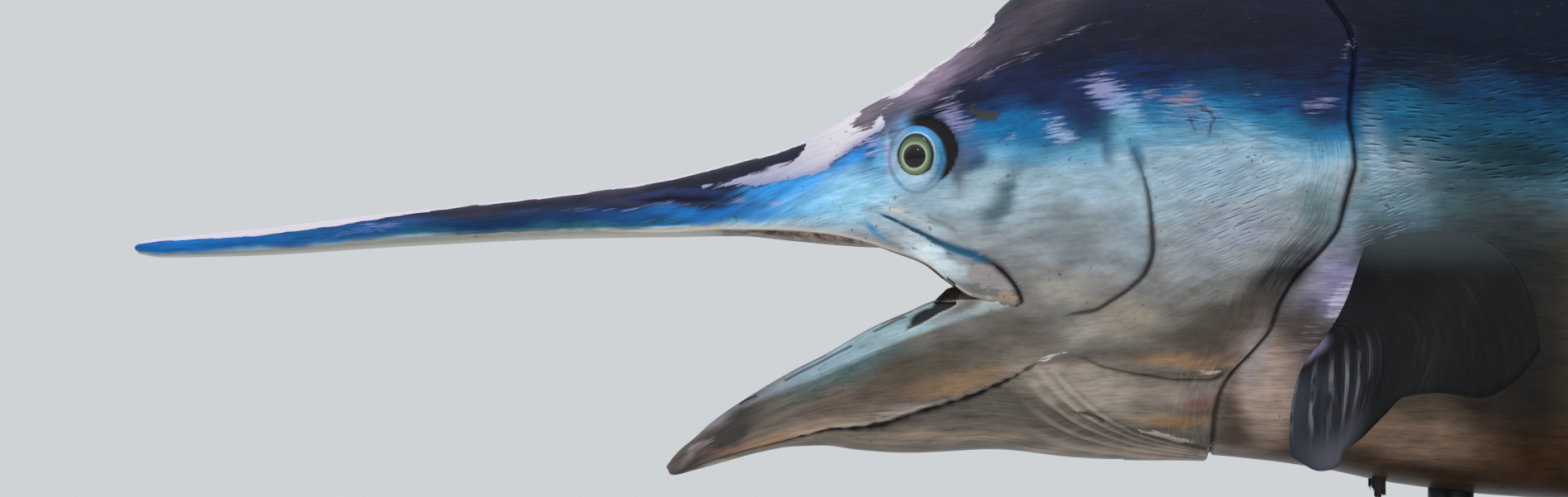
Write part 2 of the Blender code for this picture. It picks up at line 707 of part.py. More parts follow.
def make_eye(name, side, paint, growth=0.0):
    """An eyeball set into the head, larger by the growth when it cuts its socket."""
    t = 0.5
    for _ in range(40):
        t += (arc(EYE_S, t)[1] - EYE_H) * 2
    surface = skin_point(EYE_S, t)
    inside = skin_point(EYE_S, t, -EYE_SINK)
    centre = place(inside, side)
    bm = bmesh.new()
    turn = Matrix.Rotation(radians(90), 4, "X")
    bmesh.ops.create_uvsphere(bm, u_segments=EYE_SEGMENTS, v_segments=EYE_RINGS,
                              radius=EYE_RADIUS + growth, matrix=Matrix.Translation(centre) @ turn)
    return finish(name, bm, paint)


def box(name, centre, size, bevel, paint):
    """A block with softened edges."""
    bm = bmesh.new()
    bmesh.ops.create_cube(bm, size=1.0)
    bmesh.ops.scale(bm, vec=size, verts=bm.verts)
    bmesh.ops.translate(bm, vec=centre, verts=bm.verts)
    top = [e for e in bm.edges if all(v.co.z > centre[2] for v in e.verts)]
    sides = [e for e in bm.edges if e.verts[0].co.z * e.verts[1].co.z < centre[2] ** 2
             and abs(e.verts[0].co.z - e.verts[1].co.z) > size[2] / 2]
    bmesh.ops.bevel(bm, geom=top + sides, offset=bevel, segments=3, profile=0.5, affect="EDGES",
                    material=-1)
    return finish(name, bm, paint, shade=False)


def rod(name, s, paint, cutter):
    """An upright rod from the base to its seat under the belly."""
    low = BASE_THICKNESS + GAP
    high = AXIS_HEIGHT + belly(s) + ROD_SEAT
    bm = bmesh.new()
    middle = Matrix.Translation((s - LENGTH / 2, 0.0, (low + high) / 2))
    bmesh.ops.create_cone(bm, cap_ends=True, segments=ROD_SIDES, radius1=ROD_RADIUS,
                          radius2=ROD_RADIUS, depth=high - low, matrix=middle)
    made = finish(name, bm, paint)
    boolean(made, cutter)
    return made


def build():
    """Make every node of the statue."""
    for obj in list(bpy.data.objects):
        bpy.data.objects.remove(obj)
    bill_blue = material("bill_blue", (0.02, 0.11, 0.33), 0.35)
    head_blue = material("head_blue", (0.16, 0.40, 0.55), 0.4)
    jaw_brown = material("jaw_brown", (0.20, 0.17, 0.13), 0.45)
    trunk_blue = material("trunk_blue", (0.05, 0.18, 0.36), 0.4)
    flank_blue = material("flank_blue", (0.05, 0.16, 0.33), 0.4)
    tail_blue = material("tail_blue", (0.03, 0.07, 0.18), 0.4)
    fin_navy = material("fin_navy", (0.015, 0.022, 0.05), 0.45)
    fin_slate = material("fin_slate", (0.03, 0.04, 0.065), 0.45)
    keel_navy = material("keel_navy", (0.01, 0.02, 0.05), 0.4)
    eye_glass = material("eye_glass", (0.04, 0.05, 0.03), 0.05)
    stub_dark = material("stub_dark", (0.02, 0.016, 0.015), 0.7)
    rod_steel = material("rod_steel", (0.02, 0.02, 0.022), 0.35, 0.6)
    base_dark = material("base_dark", (0.035, 0.034, 0.033), 0.5)

    make_bill(bill_blue)
    head = make_head(head_blue)
    make_lower_jaw(jaw_brown)
    make_trunk((trunk_blue, flank_blue, tail_blue))
    cutter = make_body_cutter(trunk_blue)

    for name, side in (("left", -1), ("right", 1)):
        socket = make_eye("socket_" + name, side, eye_glass, GAP)
        boolean(head, socket)
        remove(socket)
        make_eye("eye_" + name, side, eye_glass)
        boolean(pectoral("pectoral_fin_" + name, side, fin_slate), cutter)
        boolean(pelvic_stub("pelvic_stub_" + name, side, stub_dark), cutter)
        boolean(keel("keel_upper_" + name, side, 1, keel_navy), cutter)
        boolean(keel("keel_lower_" + name, side, -1, keel_navy), cutter)

    for name, base, outer, count, steps, below in (
            ("first_dorsal_front", FIRST_DORSAL_FRONT_BASE, FIRST_DORSAL_FRONT, 21, 6, False),
            ("first_dorsal_rear", FIRST_DORSAL_REAR_BASE, FIRST_DORSAL_REAR, 25, 3, False),
            ("second_dorsal", SECOND_DORSAL_BASE, SECOND_DORSAL, 9, 4, False),
            ("first_anal", FIRST_ANAL_BASE, FIRST_ANAL, 15, 5, True),
            ("second_anal", SECOND_ANAL_BASE, SECOND_ANAL, 9, 4, True)):
        boolean(midline_fin(name, base, outer, count, steps, fin_navy, below), cutter)
    for name, sign in (("tail_fin_upper", 1), ("tail_fin_lower", -1)):
        boolean(tail_lobe(name, sign, fin_navy), cutter)

    for name, s in ROD_S.items():
        rod("stand_rod_" + name, s, rod_steel, cutter)
    box("stand_base", (BASE_S - LENGTH / 2, 0.0, BASE_THICKNESS / 2),
        (BASE_LENGTH, BASE_WIDTH, BASE_THICKNESS), BASE_BEVEL, base_dark)
    remove(cutter)


build()
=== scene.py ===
# %% [markdown]
# A painted statue of a blue marlin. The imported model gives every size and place, so the first step
# loads it and keeps its box. The camera comes next, because the whole job is to match one photograph:
# it stands 8 m off the left flank, level with the mouth, with a long lens that sees 1.7 m of the fish.

# %% The frame and the camera
from math import cos, pi, radians, sin

import bmesh
import bpy
import numpy as np
from mathutils import Matrix, Vector, noise


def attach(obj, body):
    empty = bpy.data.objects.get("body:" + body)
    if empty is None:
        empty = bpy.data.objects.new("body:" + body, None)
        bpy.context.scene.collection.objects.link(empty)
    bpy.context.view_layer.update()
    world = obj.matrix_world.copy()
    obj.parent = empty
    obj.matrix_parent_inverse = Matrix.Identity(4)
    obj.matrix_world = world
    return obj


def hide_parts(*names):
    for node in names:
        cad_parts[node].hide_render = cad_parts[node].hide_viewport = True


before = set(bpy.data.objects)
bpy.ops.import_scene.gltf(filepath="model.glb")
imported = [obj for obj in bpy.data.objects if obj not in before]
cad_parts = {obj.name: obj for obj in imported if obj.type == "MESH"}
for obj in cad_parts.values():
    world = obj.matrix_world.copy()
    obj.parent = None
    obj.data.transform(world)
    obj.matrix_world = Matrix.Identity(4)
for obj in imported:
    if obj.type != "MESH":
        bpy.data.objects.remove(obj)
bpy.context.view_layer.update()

LENGTH = 3.78
AXIS_HEIGHT = 0.66
CAMERA_DISTANCE = 8.0
METRES_PER_PIXEL = 0.0009
PICTURE_WIDTH = 1899
PICTURE_MIDDLE = (0.70785, -0.0684)


def to_world(s, side_way, h):
    """Turn a station aft of the bill tip, a sideways distance and a height over the axis into world places."""
    return np.stack((s - LENGTH / 2, side_way, h + AXIS_HEIGHT), axis=-1)


lens = bpy.data.cameras.new("camera")
lens.sensor_width = 36.0
lens.lens = 36.0 * CAMERA_DISTANCE / (PICTURE_WIDTH * METRES_PER_PIXEL)
camera = bpy.data.objects.new("camera", lens)
bpy.context.scene.collection.objects.link(camera)
camera.location = to_world(PICTURE_MIDDLE[0], -CAMERA_DISTANCE, PICTURE_MIDDLE[1])
camera.rotation_euler = (pi / 2, 0.0, 0.0)
bpy.context.scene.camera = camera
print("camera", [round(c, 3) for c in camera.location], "lens", round(lens.lens, 1), "mm")

# %% [markdown]
# The body is a lofted shape. A few outline curves give its back, its belly, the lip and the widest line
# of the flank, all measured aft of the bill tip. The same curves made the solids, so the visible skin
# lies on them. Each curve runs through its points without ever overshooting, and takes whole arrays.

# %% Smooth curves for whole arrays
def curve(points):
    """Give the function of a smooth line through the points that never overshoots them."""
    xs, ys = np.array(points, float).T
    rise = np.diff(ys) / np.diff(xs)
    before, after = rise[:-1], rise[1:]
    bend = before * after > 0
    slope = np.concatenate((rise[:1], np.zeros(len(xs) - 2), rise[-1:]))
    slope[1:-1][bend] = 2 * before[bend] * after[bend] / (before + after)[bend]

    def value(x):
        x = np.clip(x, xs[0], xs[-1])
        i = np.clip(np.searchsorted(xs, x, side="right") - 1, 0, len(xs) - 2)
        width = xs[i + 1] - xs[i]
        u = (x - xs[i]) / width
        return (ys[i] * (1 + 2 * u) * (1 - u) ** 2 + ys[i + 1] * u * u * (3 - 2 * u)
                + width * (slope[i] * u * (1 - u) ** 2 - slope[i + 1] * u * u * (1 - u)))
    return value


def ease(x):
    """Run smoothly from 0 to 1 while x does."""
    x = np.clip(x, 0.0, 1.0)
    return x * x * (3 - 2 * x)


# %% The outline of the body
back = curve([(0.0, -0.064), (0.006, -0.0605), (0.033, -0.0567), (0.123, -0.0477), (0.303, -0.027),
              (0.483, -0.0072), (0.573, 0.006), (0.663, 0.0284), (0.708, 0.0405), (0.753, 0.062),
              (0.807, 0.0927), (0.879, 0.135), (0.915, 0.163), (0.953, 0.2016), (1.023, 0.249),
              (1.113, 0.295), (1.203, 0.324), (1.383, 0.3465), (1.6, 0.342), (2.0, 0.305),
              (2.4, 0.235), (2.8, 0.150), (3.1, 0.094), (3.3, 0.064), (3.45, 0.052)])
belly = curve([(0.58, -0.308), (0.587, -0.3165), (0.609, -0.3114), (0.645, -0.3015),
               (0.681, -0.2916), (0.717, -0.2853), (0.753, -0.284), (0.789, -0.288),
               (0.843, -0.2912), (0.933, -0.2871), (1.027, -0.2961), (1.077, -0.2979),
               (1.149, -0.2952), (1.239, -0.3006), (1.293, -0.308), (1.383, -0.3258),
               (1.491, -0.3375), (1.7, -0.348), (2.0, -0.335), (2.4, -0.272), (2.8, -0.178),
               (3.1, -0.105), (3.3, -0.067), (3.45, -0.052)])
flank = curve([(0.0, -0.0675), (0.033, -0.0675), (0.123, -0.0621), (0.303, -0.0495),
               (0.483, -0.0492), (0.573, -0.0505), (0.64, -0.0472), (0.7, -0.0475),
               (0.753, -0.0514), (0.789, -0.0586), (0.824, -0.0706), (0.86, -0.0835),
               (0.886, -0.104), (0.913, -0.1209), (0.9614, -0.1279), (1.05, -0.118),
               (1.15, -0.092), (1.3, -0.058), (1.5, -0.032), (1.8, -0.02), (2.4, -0.015),
               (3.45, 0.0)])
flank_width = curve([(0.0, 0.004), (0.006, 0.0075), (0.033, 0.0125), (0.123, 0.0166),
                     (0.303, 0.022), (0.483, 0.029), (0.627, 0.040), (0.708, 0.053),
                     (0.753, 0.062), (0.855, 0.083), (0.965, 0.106), (1.023, 0.119),
                     (1.113, 0.137), (1.203, 0.152), (1.293, 0.164), (1.383, 0.173),
                     (1.7, 0.186), (2.0, 0.178), (2.4, 0.148), (2.8, 0.103), (3.1, 0.066),
                     (3.3, 0.045), (3.45, 0.034)])
palate = curve([(0.0, -0.071), (0.006, -0.0745), (0.033, -0.0783), (0.123, -0.0765),
                (0.303, -0.0657), (0.483, -0.0576), (0.573, -0.0563), (0.66, -0.055),
                (0.717, -0.0603), (0.789, -0.0666), (0.843, -0.069), (0.9, -0.079),
                (0.9614, -0.096)])
rim = curve([(0.58, -0.3065), (0.587, -0.2967), (0.594, -0.2885), (0.609, -0.2763),
             (0.6275, -0.2595), (0.6635, -0.2342), (0.717, -0.2026), (0.753, -0.1846),
             (0.8065, -0.1541), (0.842, -0.1389), (0.8775, -0.1255), (0.913, -0.1235),
             (0.9614, -0.1279)])
jaw_width = curve([(0.58, 0.004), (0.587, 0.0105), (0.609, 0.020), (0.663, 0.034),
                   (0.717, 0.046), (0.78, 0.059), (0.843, 0.074), (0.9, 0.090),
                   (0.9614, 0.1052)])
jaw_floor = curve([(0.58, -0.3075), (0.594, -0.293), (0.627, -0.272), (0.663, -0.2530),
                   (0.717, -0.2290), (0.78, -0.2060), (0.843, -0.186), (0.9, -0.171),
                   (0.9614, -0.160)])
roundness = curve([(0.0, 2.0), (0.6, 2.0), (0.85, 2.35), (1.2, 2.2), (2.4, 2.05), (3.45, 2.0)])
gill = curve([(-0.36, 1.167), (-0.283, 1.1689), (-0.2575, 1.1695), (-0.242, 1.1709),
              (-0.2266, 1.174), (-0.214, 1.1787), (-0.2005, 1.1879), (-0.1853, 1.2023),
              (-0.1688, 1.2167), (-0.155, 1.2268), (-0.1293, 1.2354), (-0.1161, 1.2422),
              (-0.1019, 1.2509), (-0.0887, 1.2623), (-0.0755, 1.2754), (-0.0596, 1.2891),
              (-0.0459, 1.2981), (-0.019, 1.3051), (0.0039, 1.3113), (0.0215, 1.3158),
              (0.0445, 1.3141), (0.071, 1.31), (0.1002, 1.3121), (0.1357, 1.3162),
              (0.1642, 1.3112), (0.1983, 1.2895), (0.26, 1.258), (0.36, 1.215)])
JAW_TIP = 0.58
MOUTH_CORNER = 0.9614
BODY_END = 3.45
RIM_THICKNESS = 0.006

# %% [markdown]
# The statue's shell is one moulding: bill, head, jaws and trunk have no seam between them, so they are
# one skin here. It is easiest to lay it out flat first. Two flat sheets cover the outside, one above
# the lip line and one below it, and three more line the mouth. On a flat sheet a row is a line along
# the body and a column is one section of it. Close to the gill the columns bend to run along its edge.

# %% Sections of the body
TIP_REACH = 0.006
RIM_SHARE = 0.12


def rounded(distance, reach):
    """Rise from 0 to 1 within the reach, as a quarter of a circle does."""
    return np.sqrt(1 - (1 - np.clip(distance / reach, 0.0, 1.0)) ** 2)


def tip_closing(s):
    """Draw the bill tip and the tail end together, each into one rounded point."""
    return rounded(s, TIP_REACH) * rounded(BODY_END - s, 0.01)


def jaw_closing(s):
    """Draw the tip of the lower jaw together."""
    return rounded(s - JAW_TIP, TIP_REACH)


def turn_shares(s, t):
    """What a quarter turn has left of its start and gained of its end, at the roundness there."""
    power = 2 / roundness(s)
    return np.abs(np.cos(t * pi / 2)) ** power, np.sin(t * pi / 2) ** power


def upper_section(s, t):
    """Width and height of the outside above the lip or flank line: t is 0 on the back and 1 on the line."""
    above, beside = turn_shares(s, t)
    closing = tip_closing(s)
    return flank_width(s) * beside * closing, flank(s) + (back(s) - flank(s)) * above * closing


def lower_section(s, t):
    """Width and height of the outside below the line: t is 0 on the rim or flank and 1 on the belly."""
    whole = s > MOUTH_CORNER - 1e-6
    closing = jaw_closing(s) * tip_closing(s)
    widest = np.where(whole, flank_width(s), jaw_width(s)) * closing
    edge = np.where(whole, flank(s), rim(s))
    beside, below = turn_shares(s, t)
    return widest * beside, edge + (belly(s) - edge) * below * closing


def palate_section(s, t):
    """The roof of the mouth and the underside of the bill, from the lip to the middle."""
    width, height = upper_section(s, np.ones_like(s))
    beside, inward = turn_shares(s, t)
    return width * beside, height + (palate(s) - flank(s)) * inward * tip_closing(s)


def floor_section(s, t):
    """The rim of the lower jaw and the floor of the mouth, from the outer edge to the middle."""
    width, height = lower_section(s, np.zeros_like(s))
    inner = width - np.minimum(RIM_THICKNESS, width * 0.35)
    beside, inward = turn_shares(s, np.clip((t - RIM_SHARE) / (1 - RIM_SHARE), 0.0, 1.0))
    on_the_rim = width + (inner - width) * np.clip(t / RIM_SHARE, 0.0, 1.0)
    side_way = np.where(t < RIM_SHARE, on_the_rim, inner * beside)
    return side_way, height + (jaw_floor(s) - rim(s)) * inward * jaw_closing(s)


# %% Where a column of the flat sheet lies on the body
GILL_COLUMN = 1.24
GILL_AT_FLANK = 1.29
STRAIGHT_COLUMN = 1.45
STRAIGHT_FROM = 1.55


def station(column, t, section):
    """Station of a column: behind the mouth it leans over until it follows the gill opening."""
    crossing = np.full_like(t, GILL_AT_FLANK)
    for _ in range(12):
        crossing = gill(section(crossing, t)[1])
    ahead = MOUTH_CORNER + (crossing - MOUTH_CORNER) * np.clip(
        (column - MOUTH_CORNER) / (GILL_COLUMN - MOUTH_CORNER), 0, 1)
    behind = crossing + (STRAIGHT_FROM - crossing) * np.clip(
        (column - GILL_COLUMN) / (STRAIGHT_COLUMN - GILL_COLUMN), 0, 1)
    s = np.where(column < MOUTH_CORNER, column, np.where(column < GILL_COLUMN, ahead, behind))
    return np.where(column > STRAIGHT_COLUMN, STRAIGHT_FROM + column - STRAIGHT_COLUMN, s)


LAST_COLUMN = STRAIGHT_COLUMN + BODY_END - STRAIGHT_FROM
TABLE_STATIONS = np.linspace(0.0, BODY_END, 691)
TABLE_TURNS = np.linspace(0.0, 1.0, 97)


def girth_table(section):
    """Length of the surface from t of 0 to each t, for each station of the table."""
    s, t = np.meshgrid(np.clip(TABLE_STATIONS, 0.007, BODY_END - 0.011), TABLE_TURNS, indexing="ij")
    width, height = section(np.maximum(s, JAW_TIP + 0.007) if section is lower_section else s, t)
    steps = np.hypot(np.diff(width, axis=1), np.diff(height, axis=1))
    return np.concatenate((np.zeros((len(s), 1)), np.cumsum(steps, axis=1)), axis=1)


def read_table(table, s, t):
    """Read a table between its stations and turns."""
    i = np.clip(s / BODY_END, 0.0, 1.0) * (len(TABLE_STATIONS) - 1)
    j = np.clip(t, 0.0, 1.0) * (len(TABLE_TURNS) - 1)
    low_i = np.minimum(i.astype(int), len(TABLE_STATIONS) - 2)
    low_j = np.minimum(j.astype(int), len(TABLE_TURNS) - 2)
    u, v = i - low_i, j - low_j
    return ((table[low_i, low_j] * (1 - v) + table[low_i, low_j + 1] * v) * (1 - u)
            + (table[low_i + 1, low_j] * (1 - v) + table[low_i + 1, low_j + 1] * v) * u)


upper_girth = girth_table(upper_section)
lower_girth = girth_table(lower_section)
upper_turns = np.array([np.interp(TABLE_TURNS * g[-1], g, TABLE_TURNS) for g in upper_girth])
lower_turns = np.array([np.interp(TABLE_TURNS * g[-1], g, TABLE_TURNS) for g in lower_girth])
print("girth at the gill", round(2 * (upper_girth[260, -1] + lower_girth[260, -1]), 3), "m")

# %% Lay out the flat sheets
UPPER, LOWER, PALATE, FLOOR = range(4)
MERGE_DISTANCE = 0.00001


def spaced(*runs):
    """Column places: each run is (first, last, spacing)."""
    parts = [np.linspace(a, b, max(2, int(round((b - a) / d)) + 1)) for a, b, d in runs]
    return np.unique(np.round(np.concatenate(parts), 7))


mouth_columns = spaced((0.0, 0.0012, 0.0006), (0.0012, 0.006, 0.0016), (0.006, 0.04, 0.005),
                       (0.04, 0.62, 0.012), (0.62, MOUTH_CORNER, 0.0065))
jaw_columns = spaced((JAW_TIP, JAW_TIP + 0.0012, 0.0006), (JAW_TIP + 0.0012, JAW_TIP + 0.006, 0.0016),
                     (JAW_TIP + 0.006, 0.62, 0.005), (0.62, MOUTH_CORNER, 0.0065))
body_columns = spaced((MOUTH_CORNER, GILL_COLUMN, 0.006), (GILL_COLUMN, 1.34, 0.0065),
                      (1.34, 1.46, 0.012), (1.46, 1.9, 0.018), (1.9, 3.2, 0.030),
                      (3.2, LAST_COLUMN - 0.01, 0.014),
                      (LAST_COLUMN - 0.01, LAST_COLUMN - 0.002, 0.003),
                      (LAST_COLUMN - 0.002, LAST_COLUMN, 0.001))
upper_rows = np.linspace(0.0, 1.0, 54)
lower_rows = np.linspace(0.0, 1.0, 38)
palate_rows = np.linspace(0.0, 1.0, 11)
floor_rows = np.array([0.0, 0.03, 0.09, 0.12, 0.2, 0.3, 0.4, 0.5, 0.62, 0.74, 0.87, 1.0])


def lay_sheet(bm, columns, rows, number):
    """Add one flat sheet: x is the column, y the row and z the number of the sheet."""
    made = bmesh.ops.create_grid(bm, x_segments=len(columns) - 1, y_segments=len(rows) - 1, size=1.0)
    for vert in made["verts"]:
        across = (vert.co.x + 1) / 2 * (len(columns) - 1)
        down = (vert.co.y + 1) / 2 * (len(rows) - 1)
        vert.co = (np.interp(across, np.arange(len(columns)), columns),
                   np.interp(down, np.arange(len(rows)), rows), number)


flat = bmesh.new()
whole_columns = np.concatenate((mouth_columns, body_columns[1:]))
lay_sheet(flat, whole_columns, upper_rows, UPPER)
lay_sheet(flat, np.concatenate((jaw_columns, body_columns[1:])), lower_rows, LOWER)
lay_sheet(flat, mouth_columns, palate_rows, PALATE)
lay_sheet(flat, jaw_columns, floor_rows, FLOOR)
print("flat sheets", len(flat.faces), "faces")

# %% [markdown]
# The creases are what make the shell read as moulded: the gill opening, the thinner line ahead of it,
# the lower edge of the gill plate, the crack along the jaw and the groove over the mouth corner. Each
# is a path of station and height. The flat sheets are cut finer only in bands around these paths, twice,
# so that a groove 3 mm wide stays crisp and the smooth parts stay light.

# %% Paths of the creases
def flowing(points, count=60):
    """A smooth path of many short steps through a few places."""
    points = np.array(points, float)
    along = np.concatenate(([0.0], np.cumsum(np.hypot(*np.diff(points, axis=0).T))))
    even = np.linspace(0.0, along[-1], count)
    return np.stack([curve(list(zip(along, points[:, axis])))(even) for axis in (0, 1)], axis=1)


def nearest(path, s, h, reach):
    """Distance to a path, share of the path passed, and the side of it; far away all are left alone."""
    distance, share, side = np.full(len(s), 9.0), np.zeros(len(s)), np.zeros(len(s))
    low, high = path.min(axis=0) - reach, path.max(axis=0) + reach
    near = np.flatnonzero((s > low[0]) & (s < high[0]) & (h > low[1]) & (h < high[1]))
    if not len(near):
        return distance, share, side
    start, run = path[:-1], np.diff(path, axis=0)
    from_s = s[near, None] - start[:, 0]
    from_h = h[near, None] - start[:, 1]
    along = np.clip((from_s * run[:, 0] + from_h * run[:, 1]) / (run ** 2).sum(axis=1), 0, 1)
    off_s, off_h = from_s - along * run[:, 0], from_h - along * run[:, 1]
    gaps = np.hypot(off_s, off_h)
    pick = gaps.argmin(axis=1)
    rows = np.arange(len(near))
    distance[near] = gaps[rows, pick]
    share[near] = (pick + along[rows, pick]) / len(run)
    side[near] = np.sign(run[pick, 0] * off_h[rows, pick] - run[pick, 1] * off_s[rows, pick])
    return distance, share, side


GILL_PATH = np.stack((gill(np.linspace(-0.30, 0.26, 120)), np.linspace(-0.30, 0.26, 120)), axis=1)
CHEEK_PATH = flowing([(1.0194, 0.1058), (1.0458, 0.0924), (1.0631, 0.0655), (1.0771, 0.0477),
                      (1.0907, 0.0175), (1.0995, -0.0188), (1.103, -0.0684), (1.0959, -0.0932),
                      (1.0859, -0.1047), (1.0702, -0.1171), (1.0578, -0.1251), (1.041, -0.1349),
                      (1.0186, -0.1385), (1.0055, -0.1429)])
PLATE_PATH = flowing([(1.1787, -0.2038), (1.1629, -0.2082), (1.1275, -0.2083), (1.1072, -0.2057),
                      (1.0821, -0.2026), (1.0638, -0.199), (1.0514, -0.1961), (1.0389, -0.191),
                      (1.0105, -0.1786)])
JAW_PATH = flowing([(0.5914, -0.3121), (0.6625, -0.2897), (0.6984, -0.2806), (0.7313, -0.2725),
                    (0.7549, -0.2674), (0.8086, -0.2615), (0.8469, -0.2488), (0.8767, -0.2397),
                    (0.9153, -0.2272), (0.9326, -0.2182), (0.9533, -0.2083), (0.9709, -0.1975),
                    (0.9849, -0.1885), (1.0087, -0.175)])
LIP_GROOVE = flowing([(0.8017, -0.0275), (0.8239, -0.0364), (0.8506, -0.0497), (0.8773, -0.0631),
                      (0.8951, -0.0702), (0.9128, -0.0764), (0.9306, -0.0835), (0.944, -0.0942),
                      (0.9555, -0.1075), (0.9617, -0.1191), (0.9635, -0.1262)])
LIP_RIDGE = flowing([(0.7991, -0.0168), (0.8151, -0.023), (0.8419, -0.0346), (0.8686, -0.0408),
                     (0.8864, -0.0506), (0.8971, -0.0577)])
LIP_FOLD = flowing([(0.7885, -0.0426), (0.8062, -0.0485), (0.8285, -0.0578), (0.8463, -0.0675),
                    (0.8641, -0.0818), (0.8864, -0.1013), (0.9086, -0.1165)])
BILL_STREAK = flowing([(0.5202, -0.0165), (0.574, -0.0174), (0.6187, -0.0165), (0.668, -0.0165)])
VALLEY_PATH = flowing([(1.0343, 0.1052), (1.0449, 0.0831), (1.0538, 0.0565), (1.0627, 0.0299)])
CHIP_END = 0.893
CHIP_TOP = flowing([(0.8384, -0.1580), (0.8446, -0.1450), (0.850, -0.1390), (0.858, -0.1345),
                    (0.867, -0.1310), (0.8715, -0.1240), (0.8749, -0.117), (CHIP_END, -0.116)], 30)
CHIP_LOW = flowing([(0.8384, -0.1580), (0.8509, -0.1520), (0.8643, -0.1450), (0.8785, -0.1370),
                    (CHIP_END, -0.1295)], 20)
FOLD_TROUGH = flowing([(1.0594, -0.2559), (1.0949, -0.2666), (1.126, -0.2737), (1.1633, -0.2808)], 30)
CRACKS = [flowing(points, 16) for points in (
    [(1.154, 0.0846), (1.162, 0.079), (1.169, 0.0695), (1.1654, 0.0651), (1.1637, 0.0545)],
    [(1.1416, 0.074), (1.145, 0.066), (1.1478, 0.0589)],
    [(1.1823, 0.0651), (1.2017, 0.0536), (1.2477, 0.0404)],
    [(1.0265, -0.2444), (1.0354, -0.247), (1.0522, -0.255)],
    [(0.6599, -0.2372), (0.668, -0.2325), (0.6778, -0.2285)],
    [(0.7092, -0.2116), (0.728, -0.2012), (0.7468, -0.1919), (0.7638, -0.1825), (0.7808, -0.174)],
    [(0.8057, -0.1582), (0.8182, -0.1518), (0.8307, -0.1452), (0.8387, -0.1425)])]
CRACK_DEPTHS = (0.8, 0.7, 0.35, 1.0, 0.9, 0.9, 0.9)
EYE_PLACE = (0.8503, 0.0312)
RING_PLACE, RING_SIZE = (0.8515, 0.0287), (0.0306, 0.0367)
SOCKET_PLACE, SOCKET_REACH = (0.8573, 0.0384), 0.0388

# %% Cut the sheets finer around the creases
BAND_PATHS = (GILL_PATH, CHEEK_PATH, PLATE_PATH, JAW_PATH, LIP_GROOVE, LIP_FOLD)
EYE_BAND = 0.6
BAND_WIDTHS = (0.014, 0.0062)


def lay_out(spots):
    """Station, sideways distance, height and turn of places on the flat sheets."""
    column, row, number = spots.T
    places = np.zeros((len(spots), 4))
    for sheet, section, turns in ((UPPER, upper_section, upper_turns), (LOWER, lower_section, lower_turns),
                                  (PALATE, palate_section, None), (FLOOR, floor_section, None)):
        on = np.flatnonzero(np.round(number) == sheet)
        across, down = column[on], row[on]
        t = down if turns is None else read_table(turns, nominal_station(across), down)
        s = across if turns is None else station(across, t, section)
        width, height = section(s, t)
        places[on] = np.stack((s, width, height, t), axis=1)
    return places


def nominal_station(column):
    """Station of a column before it leans over."""
    s = np.interp(column, (0.0, MOUTH_CORNER, GILL_COLUMN, STRAIGHT_COLUMN),
                  (0.0, MOUTH_CORNER, GILL_AT_FLANK, STRAIGHT_FROM))
    return np.where(column > STRAIGHT_COLUMN, STRAIGHT_FROM + column - STRAIGHT_COLUMN, s)


def crease_distance(s, h):
    """How near each place is to any crease, the eye ring included."""
    near = np.min([nearest(path, s, h, 0.03)[0] for path in BAND_PATHS], axis=0)
    eye = np.hypot(s - EYE_PLACE[0], h - EYE_PLACE[1])
    near = np.minimum(near, np.abs(eye - 0.030) * EYE_BAND)
    for path in CRACKS:
        near = np.minimum(near, nearest(path, s, h, 0.02)[0] * 1.2)
    folds = np.hypot((s - 1.09) / 0.09, (h + 0.255) / 0.05)
    near = np.minimum(near, np.where(folds < 1.0, BAND_WIDTHS[1] + 0.001, 9.0))
    chip = np.hypot((s - 0.87) / 2.2, h + 0.137)
    return np.minimum(near, chip * 0.4)


for band in BAND_WIDTHS:
    flat.verts.ensure_lookup_table()
    spots = np.array([vert.co for vert in flat.verts])
    laid = lay_out(spots)
    close = crease_distance(laid[:, 0], laid[:, 2]) < band
    for number, vert in enumerate(flat.verts):
        vert.tag = bool(close[number])
    chosen = [edge for edge in flat.edges if edge.verts[0].tag and edge.verts[1].tag]
    bmesh.ops.subdivide_edges(flat, edges=chosen, cuts=1, use_grid_fill=True)
    print("cut finer within", band, "m:", len(flat.faces), "faces")

# %% [markdown]
# Now the flat sheets are bent into the body. Every flat place has a place in space, once for each flank,
# so a copy of the sheets is turned into the right side. The sheets meet exactly along the lip, the jaw
# rim, the back and the belly, and merging doubles there makes one closed shell. The back of the mouth
# is bridged last, with two folds of cheek skin and a throat between them.

# %% Bend the sheets into a shell
spots = np.array([vert.co for vert in flat.verts])
laid = lay_out(spots)
FLOW_GIRTH = curve([(0.0, 0.05), (0.35, 0.07), (0.6, 0.14), (0.9, 0.30), (1.1, 0.33), (3.45, 0.33)])
sheet = np.round(spots[:, 2])
flat_s, _, flat_h, turn_at = laid.T
level = ease((flat_s - 0.62) / 0.18)
upper_flow = ((turn_at + (sheet == PALATE)) * FLOW_GIRTH(flat_s) * (1 - 0.6 * level)
              + level * (0.04 * (1 - np.exp((flat_h - back(flat_s)) / 0.03)) - 0.75 * (flat_h - 0.09)))
jaw_flow = 0.33 + 0.28 * turn_at * np.where(sheet == FLOOR, -1, 1)
belly_flow = 0.4 * FLOW_GIRTH(flat_s) + 0.04 - 0.75 * (flat_h - 0.09) + 0.1 * turn_at
lower_flow = jaw_flow + (belly_flow - jaw_flow) * ease((flat_s - 0.9) / 0.15)
girth_at = np.select([sheet == LOWER, sheet == FLOOR], [lower_flow, jaw_flow], upper_flow)
mouth_at = (sheet >= PALATE).astype(float)

